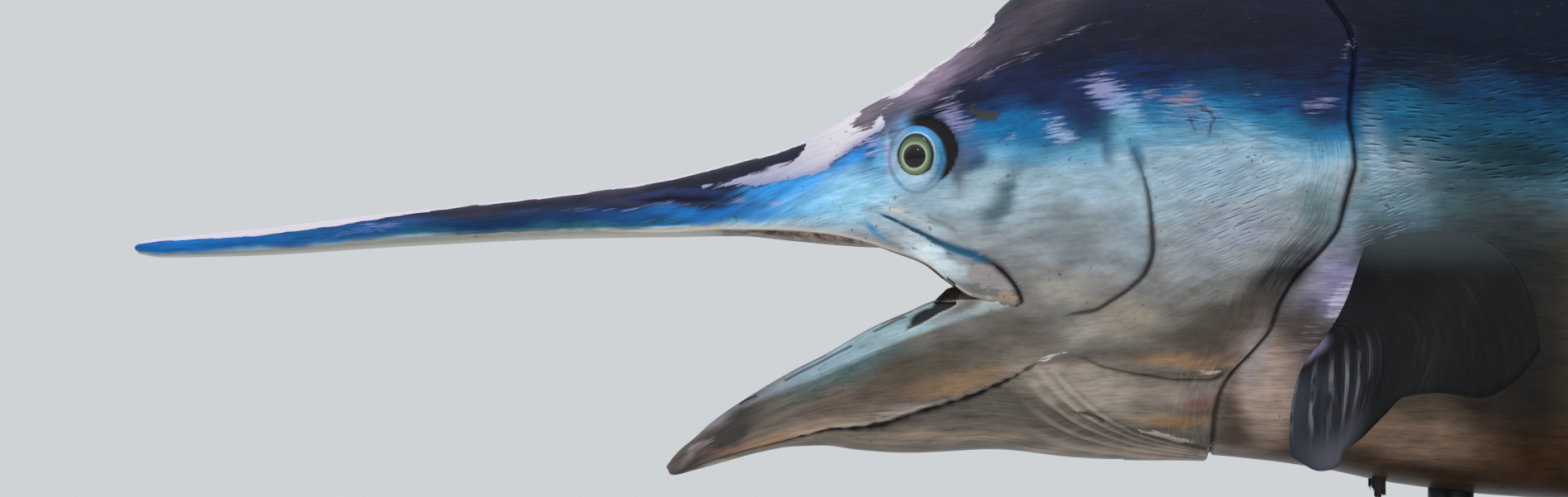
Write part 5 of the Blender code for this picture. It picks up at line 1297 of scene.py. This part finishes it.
# %% [markdown]
# The fins are stiff cast blades with their rays as ridges. Each starts as a flat closed blank: a grid
# whose faces are extruded once, so it has two faces and a rim. The blank is then bent: its x runs over
# the rays, its y from root to margin, and a rounded ridge thickens it along every ray. The curves are
# those of the solids, so the blades stay where the solids are, and their roots dip under the skin.

# %% A fin blank and its bending
FIN_DIP = 0.012
LEAST_HALF = 0.0005


def fin_blank(rays, per_ray, steps):
    """A closed flat blank: x runs from 0 to 1 over the rays, y from root to margin, z is 0 or 1."""
    bm = bmesh.new()
    bmesh.ops.create_grid(bm, x_segments=rays * per_ray, y_segments=steps, size=0.5)
    bmesh.ops.translate(bm, verts=bm.verts, vec=(0.5, 0.5, 0.0))
    made = bmesh.ops.extrude_face_region(bm, geom=bm.faces[:])["geom"]
    raised = [part for part in made if isinstance(part, bmesh.types.BMVert)]
    bmesh.ops.translate(bm, verts=raised, vec=(0.0, 0.0, 1.0))
    return bm


def bend_fin(name, blank, rays, middle, half, paint, node, flat_side=None, crest=0.0011):
    """Bend a blank along its middle surface, with a ridge on each ray, and make it a piece."""
    r, q, face = np.array([vert.co for vert in blank.verts]).T
    step = 0.004
    centre = middle(r, q)
    if flat_side is None:
        over = middle(np.clip(r + step, 0, 1), q) - middle(np.clip(r - step, 0, 1), q)
        along = middle(r, np.clip(q + step, 0, 1)) - middle(r, np.clip(q - step, 0, 1))
        side = np.cross(over, along)
        side /= np.linalg.norm(side, axis=1)[:, None]
    else:
        side = np.array(flat_side) + np.zeros_like(centre)
    ridge = (0.5 + 0.5 * np.cos(r * rays * 2 * pi)) ** 1.4
    if not flat_side:
        crest = crest * (0.1 + 0.9 * ease((r - 0.66) / 0.15))
    fading = ease(q / 0.12) * (0.4 + 0.6 * ease((1 - q) / 0.1))
    thick = half(r, q) + crest * (ridge - 0.35) * fading
    bent = centre + side * (np.maximum(thick, LEAST_HALF) * (2 * face - 1))[:, None]
    for number, vert in enumerate(blank.verts):
        vert.co = bent[number]
    bmesh.ops.recalc_face_normals(blank, faces=blank.faces)
    piece = make_piece(name, blank, [paint], [node])
    store_maps(piece, {"ridge": ridge, "reach": q, "ray_share": r},
               {"fin_flow": np.stack((q * 0.4, r * 0.4, face * 0.1), axis=1)})
    return piece


def through(points, axis):
    """One coordinate of an evenly shared line of points."""
    return curve([(k / (len(points) - 1), point[axis]) for k, point in enumerate(points)])


def cast_half(root, tip):
    """Half thickness of a cast fin: thick at its root and thin at its margin."""
    return lambda r, q: root + (tip - root) * q ** 0.6


# %% The paints of the fins
def make_fin_paint(name, dark, middle, light, ray_light, front_lobe=0.0):
    """Dark fin paint, brushed along the rays, lighter on the ridges where hands and weather rub them, with a painted
    highlight there too.
    """
    paint, tree, shader = start_paint(name)
    flow = read_flow(tree, "fin_flow")
    brushed = use_group(tree, bristle_strokes, {"Flow": flow})
    cloudy = clouds(tree, own_places(tree), 7.0, 5.0)
    tone = swing(tree, brushed["Broad"], 0.9, cloudy)
    colour = colour_steps(tree, tone, [(0.3, dark), (0.55, middle), (0.85, light)])
    rubbed_and_lit_ridges = times(tree, map_fade(tree, "ridge", 0.55, 0.95), fade_in(tree, brushed["Broad"], 0.42, 0.6))
    if front_lobe:
        front = times(tree, map_fade(tree, "ray_share", 0.66, 0.86), map_fade(tree, "reach", 0.3, 0.62))
        slate = layer(tree, fade_in(tree, brushed["Broad"], 0.35, 0.65), (0.008, 0.009, 0.012, 1.0),
                      (0.026, 0.028, 0.037, 1.0))
        slate = layer(tree, map_fade(tree, "reach", 0.8, 0.97), slate, (0.075, 0.076, 0.098, 1.0))
        slate = layer(tree, map_fade(tree, "ray_share", 0.9, 1.0), slate, (0.030, 0.033, 0.042, 1.0))
        colour = layer(tree, times(tree, front, front_lobe), colour, slate)
        place_on = put(tree, "SeparateXYZ", {0: own_places(tree)}).outputs
        forward = put(tree, "MapRange", {0: place_on[0], 1: -0.35, 2: -0.555, 3: 0.15, 4: 1.0}).outputs[0]
        faded = times(tree, fade_in(tree, place_on[2], 0.560, 0.606), forward)
        colour = layer(tree, faded, colour, (0.044, 0.056, 0.060, 1.0))
        front_root = times(tree, map_fade(tree, "ray_share", 0.88, 0.96), map_fade(tree, "reach", 0.36, 0.2))
        colour = glaze(tree, colour, front_root, 0.8, (0.20, 0.19, 0.30))
        rubbed_and_lit_ridges = times(tree, rubbed_and_lit_ridges, times(tree, front, map_fade(tree, "reach", 0.95, 0.7)))
    # Pale paint on the ray ridges: rubbed paint and a painted highlight.
    colour = layer(tree, times(tree, rubbed_and_lit_ridges, ray_light), colour, (0.26, 0.26, 0.29, 1.0))
    dullness = calc(tree, "MULTIPLY_ADD", brushed["Fine"], 0.25, 0.48 if front_lobe else 0.33)
    join_paint(tree, shader, colour, dullness, calc(tree, "ADD", brushed["Fine"], brushed["Broad"]), 0.35, 0.001)
    shader.inputs["Specular IOR Level"].default_value = 0.10 if front_lobe else 0.18
    return paint


fin_paint = make_fin_paint("navy_fin_paint", (0.006, 0.008, 0.018), (0.012, 0.018, 0.045), (0.03, 0.05, 0.11), 0.35)
pectoral_paint = make_fin_paint("slate_fin_paint", (0.004, 0.004, 0.004), (0.006, 0.006, 0.006),
                                (0.013, 0.013, 0.014), 0.45, 0.9)

# %% The fins along the middle
MIDLINE_FINS = {
    "first_dorsal_front": ([(1.295, 0.03), (1.345, 0.14), (1.415, 0.26), (1.505, 0.37), (1.60, 0.445),
                            (1.665, 0.465), (1.69, 0.395), (1.725, 0.305), (1.775, 0.222),
                            (1.845, 0.162), (1.93, 0.124)], (1.275, 1.80), 26, 30, False),
    "first_dorsal_rear": ([(1.933, 0.120), (2.1, 0.085), (2.3, 0.066), (2.5, 0.055), (2.7, 0.045),
                           (2.82, 0.012)], (1.803, 2.775), 34, 10, False),
    "second_dorsal": ([(2.88, 0.02), (2.925, 0.075), (2.965, 0.09), (3.0, 0.068), (3.05, 0.048),
                       (3.13, 0.030)], (2.86, 3.00), 10, 10, False),
    "first_anal": ([(2.325, 0.03), (2.39, 0.13), (2.465, 0.23), (2.535, 0.305), (2.59, 0.34),
                    (2.605, 0.265), (2.63, 0.18), (2.675, 0.108), (2.735, 0.064), (2.80, 0.038)],
                   (2.31, 2.745), 18, 22, True),
    "second_anal": ([(2.85, 0.02), (2.895, 0.07), (2.935, 0.085), (2.97, 0.064), (3.02, 0.045),
                     (3.10, 0.028)], (2.83, 2.97), 9, 10, True)}
LEAN = 0.25


def midline_middle(margin, base, below):
    """The middle surface of a fin on the back or the belly."""
    edge, sign = (belly, -1) if below else (back, 1)
    margin_s, margin_h = through(margin, 0), through(margin, 1)

    def middle(r, q):
        low_s = base[0] + (base[1] - base[0]) * r
        low_h = edge(low_s) - sign * FIN_DIP
        high_s = margin_s(r)
        high_h = edge(np.minimum(high_s, BODY_END)) + sign * margin_h(r)
        s = low_s + (high_s - low_s) * (q * q * LEAN + q * (1 - LEAN))
        return to_world(s, 0.0 * s, low_h + (high_h - low_h) * (q + LEAN * q * (1 - q)))
    return middle


for name, (margin, base, rays, steps, below) in MIDLINE_FINS.items():
    bend_fin("cast_" + name, fin_blank(rays, 6, steps), rays, midline_middle(margin, base, below),
             cast_half(0.006, 0.0014), fin_paint, name, (0.0, 1.0, 0.0))

# %% The crescent of the tail
TAIL_LEAD = [(3.33, 0.042), (3.42, 0.092), (3.50, 0.185), (3.585, 0.310), (3.67, 0.43),
             (3.735, 0.51), (3.775, 0.56)]
TAIL_TRAIL = [(3.525, 0.0), (3.545, 0.055), (3.575, 0.135), (3.62, 0.245), (3.68, 0.37),
              (3.74, 0.48), (3.78, 0.555)]


def tail_middle(sign):
    """The middle surface of one lobe; here the rays run out along the lobe."""
    lead = [through(TAIL_LEAD, axis) for axis in (0, 1)]
    trail = [through(TAIL_TRAIL, axis) for axis in (0, 1)]

    def middle(r, q):
        start_s = np.where(q > 0.0001, lead[0](q), 3.33)
        start_h = lead[1](q) * ease(q / 0.08)
        s = start_s + (trail[0](q) - start_s) * r
        h = start_h + (trail[1](q) - start_h) * r
        return to_world(s, 0.0 * s, sign * h)
    return middle


for name, sign in (("tail_fin_upper", 1), ("tail_fin_lower", -1)):
    bend_fin("cast_" + name, fin_blank(12, 6, 40), 12, tail_middle(sign),
             lambda r, q: 0.0016 + 0.0124 * (1 - r) * (1 - q) ** 2, fin_paint, name, (0.0, 1.0, 0.0))

# %% The pectoral fins
PECTORAL_ROOT = [(0.0, 1.3275, 0.148, -0.072), (0.5, 1.310, 0.146, -0.122),
                 (1.0, 1.291, 0.140, -0.1735)]
PECTORAL_MIDDLE = [(0.0, 1.431, 0.44, -0.062), (0.26, 1.403, 0.42, -0.102),
                   (0.5, 1.369, 0.37, -0.1405), (0.7, 1.335, 0.32, -0.167),
                   (0.85, 1.303, 0.28, -0.189), (1.0, 1.2516, 0.235, -0.216)]
PECTORAL_MARGIN = [(0.0, 1.465, 0.64, -0.171), (0.12, 1.445, 0.60, -0.201),
                   (0.26, 1.411, 0.56, -0.220), (0.4, 1.375, 0.50, -0.216),
                   (0.52, 1.345, 0.45, -0.2205), (0.62, 1.327, 0.41, -0.241),
                   (0.72, 1.305, 0.37, -0.267), (0.8, 1.2925, 0.34, -0.279),
                   (0.86, 1.286, 0.32, -0.2965), (0.93, 1.2695, 0.30, -0.302),
                   (1.0, 1.243, 0.27, -0.2875)]


def pectoral_middle(flank_side):
    """The flared blade: each ray is an arc from its root, over its middle, down to its tip."""
    tracks = [[curve([(p[0], p[axis]) for p in points]) for axis in (1, 2, 3)]
              for points in (PECTORAL_ROOT, PECTORAL_MIDDLE, PECTORAL_MARGIN)]

    def middle(r, q):
        root, mid, tip = [np.stack([axis(r) for axis in track], axis=1) for track in tracks]
        control = 2 * mid - (root + tip) / 2
        share = q[:, None]
        point = root * (1 - share) ** 2 + control * 2 * share * (1 - share) + tip * share ** 2
        return to_world(point[:, 0], flank_side * point[:, 1], point[:, 2])
    return middle


for name, flank_side in (("left", -1), ("right", 1)):
    bend_fin("cast_pectoral_" + name, fin_blank(20, 8, 44), 20, pectoral_middle(flank_side),
             cast_half(0.008, 0.0014), pectoral_paint, "pectoral_fin_" + name, crest=0.0010)

# %% The keels of the tail stock
def keel_middle(flank_side, sign):
    """A low blade along the side of the tail stock."""
    def middle(r, q):
        s = 3.24 + 0.19 * r
        height = sign * 0.017 * (1 - 0.45 * r)
        t = 1 - np.abs(height) / (back(s) - flank(s)) * 2 / pi
        width = np.where(sign > 0, upper_section(s, t)[0], lower_section(s, 1 - t)[0])
        reach = 0.002 + 0.013 * np.sin(pi * np.minimum(r * 1.1, 1.0)) ** 0.7
        return to_world(s, flank_side * (width - 0.006 + (reach + 0.006) * q), height)
    return middle


for part, sign in (("upper", 1), ("lower", -1)):
    for name, flank_side in (("left", -1), ("right", 1)):
        bend_fin("cast_keel_" + part + "_" + name, fin_blank(1, 24, 6), 1, keel_middle(flank_side, sign),
                 lambda r, q: 0.0055 * (1 - 0.8 * q ** 1.5), fin_paint, "keel_" + part + "_" + name,
                 (0.0, 0.0, 1.0))

# %% [markdown]
# Each pelvic fin is broken off, and a dark stub with three prongs is left beside the keel of the belly.
# A small blank does for it too: its free edge drops between the prongs, and the break is rough.

# %% The broken pelvic stubs
stub_paint, tree, shader = start_paint("broken_resin")
grain = clouds(tree, own_places(tree), 160.0, 6.0, Roughness=0.7)
broken = colour_steps(tree, grain, [(0.35, (0.006, 0.005, 0.005)), (0.55, (0.022, 0.017, 0.014)),
                                    (0.75, (0.08, 0.06, 0.05))])
join_paint(tree, shader, broken, calc(tree, "MULTIPLY_ADD", grain, 0.4, 0.5), grain, 0.7, 0.001)


def stub_middle(flank_side):
    """A flap whose free edge has three prongs."""
    def middle(r, q):
        s = 1.3465 + 0.016 * r + 0.0012 * np.sin(r * 23.0) * q
        prong = np.interp(r, (0.0, 0.14, 0.25, 0.42, 0.55, 0.68, 0.80, 0.9, 1.0),
                          (0.009, 0.013, 0.007, 0.017, 0.020, 0.009, 0.015, 0.014, 0.006))
        top = belly(s) + 0.014
        side_way = flank_side * 0.022 + 0.0015 * np.sin(r * 9.0) * q
        return to_world(s, side_way, top + (belly(s) - prong - top) * q)
    return middle


for name, flank_side in (("left", -1), ("right", 1)):
    bend_fin("broken_stub_" + name, fin_blank(3, 12, 14), 3, stub_middle(flank_side),
             lambda r, q: 0.003 - 0.0017 * q, stub_paint, "pelvic_stub_" + name, (0.0, 1.0, 0.0))

# %% [markdown]
# The eye is a cast glass button: a green iris with a domed black pupil and a dark groove around it. Its
# outline is turned about its own axis, which points out and a little forward, as the photograph shows.

# %% The glass eyes
EYE_RADIUS = 0.0236
EYE_PROFILE = [(0.0, 0.0088), (0.004, 0.0086), (0.008, 0.0075), (0.0108, 0.0058), (0.0122, 0.0040),
               (0.0132, 0.0032), (0.0150, 0.0036), (0.0175, 0.0032), (0.0200, 0.0020), (0.0212, 0.0008),
               (0.0222, 0.0012), (0.0236, 0.0002), (0.0240, -0.0060)]
eye_glass, tree, shader = start_paint("eye_glass_paint")
radius_share = read_map(tree, "eye_radius")
around = use_group(tree, bristle_strokes, {"Flow": read_flow(tree, "eye_flow")})
tint = swing(tree, around["Fine"], 0.10, radius_share)
iris = colour_steps(tree, tint, [(0.0, (0.004, 0.003, 0.005)), (0.50, (0.004, 0.003, 0.005)),
                                 (0.54, (0.012, 0.012, 0.010)), (0.60, (0.44, 0.50, 0.34)),
                                 (0.68, (0.17, 0.24, 0.12)), (0.77, (0.09, 0.14, 0.07)),
                                 (0.84, (0.015, 0.026, 0.014)), (0.91, (0.012, 0.02, 0.015)),
                                 (0.965, (0.22, 0.38, 0.52)), (1.0, (0.34, 0.52, 0.66))])
# Painted shade: the iris darkens to olive toward its top.
iris_top_shade = map_fade(tree, "eye_height", 0.3, 1.0)
within = calc(tree, "SUBTRACT", 1.0, fade_in(tree, radius_share, 0.8, 0.88))
ring_only = times(tree, fade_in(tree, radius_share, 0.5, 0.56), within)
iris = layer(tree, times(tree, iris_top_shade, times(tree, ring_only, 0.6)), iris, (0.035, 0.05, 0.015, 1.0))
tree.links.new(iris, shader.inputs["Base Color"])
shader.inputs["Roughness"].default_value = 0.2
shader.inputs["Specular IOR Level"].default_value = 0.15
shader.inputs["Coat Weight"].default_value = 0.6
shader.inputs["Coat Roughness"].default_value = 0.06

turns = np.linspace(0.02, 1.0, 60)
heights = upper_section(np.full(60, EYE_PLACE[0]), turns)
eye_width = float(np.interp(-EYE_PLACE[1], -heights[1], heights[0]))
for name, flank_side in (("left", -1), ("right", 1)):
    bm = bmesh.new()
    outline = [bm.verts.new((r, 0.0, z)) for r, z in EYE_PROFILE]
    edges = [bm.edges.new(pair) for pair in zip(outline, outline[1:])]
    bmesh.ops.spin(bm, geom=outline + edges, axis=(0, 0, 1), cent=(0, 0, 0), angle=2 * pi, steps=64, use_merge=True)
    bmesh.ops.remove_doubles(bm, verts=bm.verts, dist=0.00001)
    flat_places = np.array([vert.co for vert in bm.verts])
    radius_here = np.hypot(flat_places[:, 0], flat_places[:, 1]) / EYE_RADIUS
    turn_here = np.arctan2(flat_places[:, 1], flat_places[:, 0])
    flat_places[:, 1] *= 0.93 + 0.19 * ease((radius_here - 0.5) / 0.3)
    for vert, flat_place in zip(bm.verts, flat_places):
        vert.co = flat_place
    look = Vector((-sin(radians(27)), flank_side * cos(radians(27)), 0.05)).normalized()
    up = Vector((0.0, 0.0, 1.0))
    across_eye = up.cross(look).normalized()
    frame_turn = Matrix((across_eye, look.cross(across_eye), look)).transposed().to_4x4()
    seat = Vector(to_world(EYE_PLACE[0], flank_side * (eye_width + 0.0032), EYE_PLACE[1]))
    bmesh.ops.transform(bm, matrix=Matrix.Translation(seat) @ frame_turn, verts=bm.verts)
    bmesh.ops.holes_fill(bm, edges=[edge for edge in bm.edges if edge.is_boundary], sides=0)
    bmesh.ops.recalc_face_normals(bm, faces=bm.faces)
    rise = (np.array([vert.co.z for vert in bm.verts]) - seat.z) / EYE_RADIUS
    eye = make_piece("glass_eye_" + name, bm, [eye_glass], ["eye_" + name])
    store_maps(eye, {"eye_radius": radius_here, "eye_height": rise},
               {"eye_flow": np.stack((radius_here * 0.02, turn_here * 0.05, 0 * rise), axis=1)})
print("eye stands", round(eye_width * 1000), "mm off the middle")

# %% [markdown]
# The stand is a low dark board and two steel rods. The board is a bevelled block with an inset top, and
# each rod is turned in one piece with its flange, which four round screws hold to the board.

# %% The stand
BASE_SIZE = (1.10, 0.52, 0.035)
BASE_MIDDLE = 1.77 - LENGTH / 2
ROD_RADIUS = 0.025
ROD_STATIONS = {"front": 1.4346, "rear": 2.10}

steel, tree, shader = start_paint("rod_steel_paint")
drawn = clouds(tree, stretched(tree, own_places(tree), (60.0, 60.0, 2.0)), 1.0, 5.0)
smudge = clouds(tree, own_places(tree), 9.0, 4.0)
metal = colour_steps(tree, drawn, [(0.3, (0.018, 0.018, 0.02)), (0.6, (0.045, 0.046, 0.05)),
                                   (0.8, (0.10, 0.10, 0.11))])
join_paint(tree, shader, metal, calc(tree, "MULTIPLY_ADD", smudge, 0.3, 0.22), drawn, 0.15, 0.0005)
shader.inputs["Metallic"].default_value = 0.7

lacquer, tree, shader = start_paint("base_lacquer")
veins = clouds(tree, stretched(tree, own_places(tree), (3.0, 55.0, 55.0)), 1.0, 6.0, Distortion=0.7)
dust = clouds(tree, own_places(tree), 5.0, 6.0)
wood = colour_steps(tree, veins, [(0.3, (0.010, 0.008, 0.007)), (0.6, (0.030, 0.024, 0.020)),
                                  (0.8, (0.055, 0.042, 0.033))])
wood = layer(tree, times(tree, fade_in(tree, dust, 0.5, 0.8), 0.25), wood, (0.16, 0.15, 0.14, 1.0))
join_paint(tree, shader, wood, calc(tree, "MULTIPLY_ADD", dust, 0.35, 0.22), veins, 0.2, 0.0006)
shader.inputs["Coat Weight"].default_value = 0.3

board = bmesh.new()
bmesh.ops.create_cube(board, size=1.0)
bmesh.ops.scale(board, vec=BASE_SIZE, verts=board.verts)
bmesh.ops.translate(board, vec=(BASE_MIDDLE, 0.0, BASE_SIZE[2] / 2), verts=board.verts)
top = [face for face in board.faces if face.normal.z > 0.9]
bmesh.ops.inset_region(board, faces=top, thickness=0.018, depth=0.0, use_even_offset=True)
bmesh.ops.inset_region(board, faces=top, thickness=0.004, depth=-0.003, use_even_offset=True)
sharp = [edge for edge in board.edges if edge.calc_face_angle(0.0) > 0.6]
bmesh.ops.bevel(board, geom=sharp, offset=0.0022, segments=3, profile=0.5, affect="EDGES", material=-1,
                clamp_overlap=True)
bmesh.ops.recalc_face_normals(board, faces=board.faces)
make_piece("stand_board", board, [lacquer], ["stand_base"])


def turned(profile, place_at, steps):
    """Turn an outline of radius and height about an upright axis into a closed solid."""
    bm = bmesh.new()
    outline = [bm.verts.new((r, 0.0, z)) for r, z in profile]
    edges = [bm.edges.new(pair) for pair in zip(outline, outline[1:])]
    bmesh.ops.spin(bm, geom=outline + edges, axis=(0, 0, 1), cent=(0, 0, 0), angle=2 * pi, steps=steps, use_merge=True)
    bmesh.ops.remove_doubles(bm, verts=bm.verts, dist=0.00001)
    bmesh.ops.translate(bm, verts=bm.verts, vec=place_at)
    bmesh.ops.recalc_face_normals(bm, faces=bm.faces)
    return bm


board_top = BASE_SIZE[2] - 0.003
for name, rod_s in ROD_STATIONS.items():
    rod_top = AXIS_HEIGHT + float(belly(rod_s)) + 0.03
    rod = turned([(0.0, board_top), (0.055, board_top), (0.055, board_top + 0.006), (0.052, board_top + 0.008),
                  (0.033, board_top + 0.009), (0.028, board_top + 0.012), (ROD_RADIUS, board_top + 0.020),
                  (ROD_RADIUS, rod_top - 0.05), (ROD_RADIUS, rod_top), (0.0, rod_top)],
                 (rod_s - LENGTH / 2, 0.0, 0.0), 48)
    for quarter in range(4):
        angle = pi / 4 + quarter * pi / 2
        screw = turned([(0.0, board_top + 0.0125), (0.003, board_top + 0.012), (0.0055, board_top + 0.0105),
                        (0.006, board_top + 0.008), (0.0, board_top + 0.008)],
                       (rod_s - LENGTH / 2 + 0.043 * cos(angle), 0.043 * sin(angle), 0.0), 16)
        kept = bpy.data.meshes.new("screw")
        screw.to_mesh(kept)
        screw.free()
        rod.from_mesh(kept)
        bpy.data.meshes.remove(kept)
    make_piece("stand_rod_and_flange_" + name, rod, [steel], ["stand_rod_" + name])

# %% [markdown]
# The statue is lit as in a photographer's shed: a pale room, one wide soft lamp high over the back and
# a weaker one toward the camera, so the bill and brow shine along their tops and the belly stays dim.

# %% Room and lamps
world = bpy.data.worlds.new("pale_room")
bpy.context.scene.world = world
world.use_nodes = True
tree = world.node_tree
up = put(tree, "SeparateXYZ", {0: put(tree, "TexCoord").outputs["Generated"]}).outputs[2]
room = colour_steps(tree, calc(tree, "MULTIPLY_ADD", up, 0.5, 0.5), [
    (0.30, (0.40, 0.39, 0.38)), (0.5, (0.40, 0.42, 0.44)), (0.85, (0.66, 0.70, 0.76))])
seen = layer(tree, put(tree, "LightPath").outputs["Is Camera Ray"], room, (0.62, 0.65, 0.67, 1.0))
tree.links.new(seen, tree.nodes["Background"].inputs["Color"])
bpy.context.scene.view_settings.view_transform = "Standard"


def soft_lamp(name, place_at, look_at, size, power):
    """A square soft lamp turned toward a place."""
    light = bpy.data.lights.new(name, "AREA")
    light.energy = power
    light.size = size
    lamp = bpy.data.objects.new(name, light)
    bpy.context.scene.collection.objects.link(lamp)
    lamp.location = place_at
    lamp.rotation_euler = (Vector(look_at) - Vector(place_at)).to_track_quat("-Z", "Y").to_euler()
    return lamp


soft_lamp("roof_light", (-1.3, 0.3, 3.8), (-0.8, 0.0, 0.7), 2.6, 62.0).visible_glossy = False
soft_lamp("front_light", (-4.4, -9.0, 3.0), (-0.8, 0.0, 0.6), 4.8, 352.0).visible_glossy = False
soft_lamp("gloss_light", (-1.6, -2.2, 4.4), (-1.0, 0.0, 0.7), 0.9, 25.0)

# %% The floor
floor_mesh = bmesh.new()
bmesh.ops.create_grid(floor_mesh, x_segments=8, y_segments=8, size=3.4)
floor_data = bpy.data.meshes.new("pale_floor")
floor_mesh.to_mesh(floor_data)
floor_mesh.free()
floor = bpy.data.objects.new("pale_floor", floor_data)
bpy.context.scene.collection.objects.link(floor)
floor_paint, tree, shader = start_paint("floor_paint")
mottled = clouds(tree, own_places(tree), 3.0, 6.0)
screed = colour_steps(tree, mottled, [(0.3, (0.58, 0.58, 0.57)), (0.7, (0.64, 0.64, 0.63))])
tree.links.new(screed, shader.inputs["Base Color"])
shader.inputs["Roughness"].default_value = 0.6
floor_data.materials.append(floor_paint)
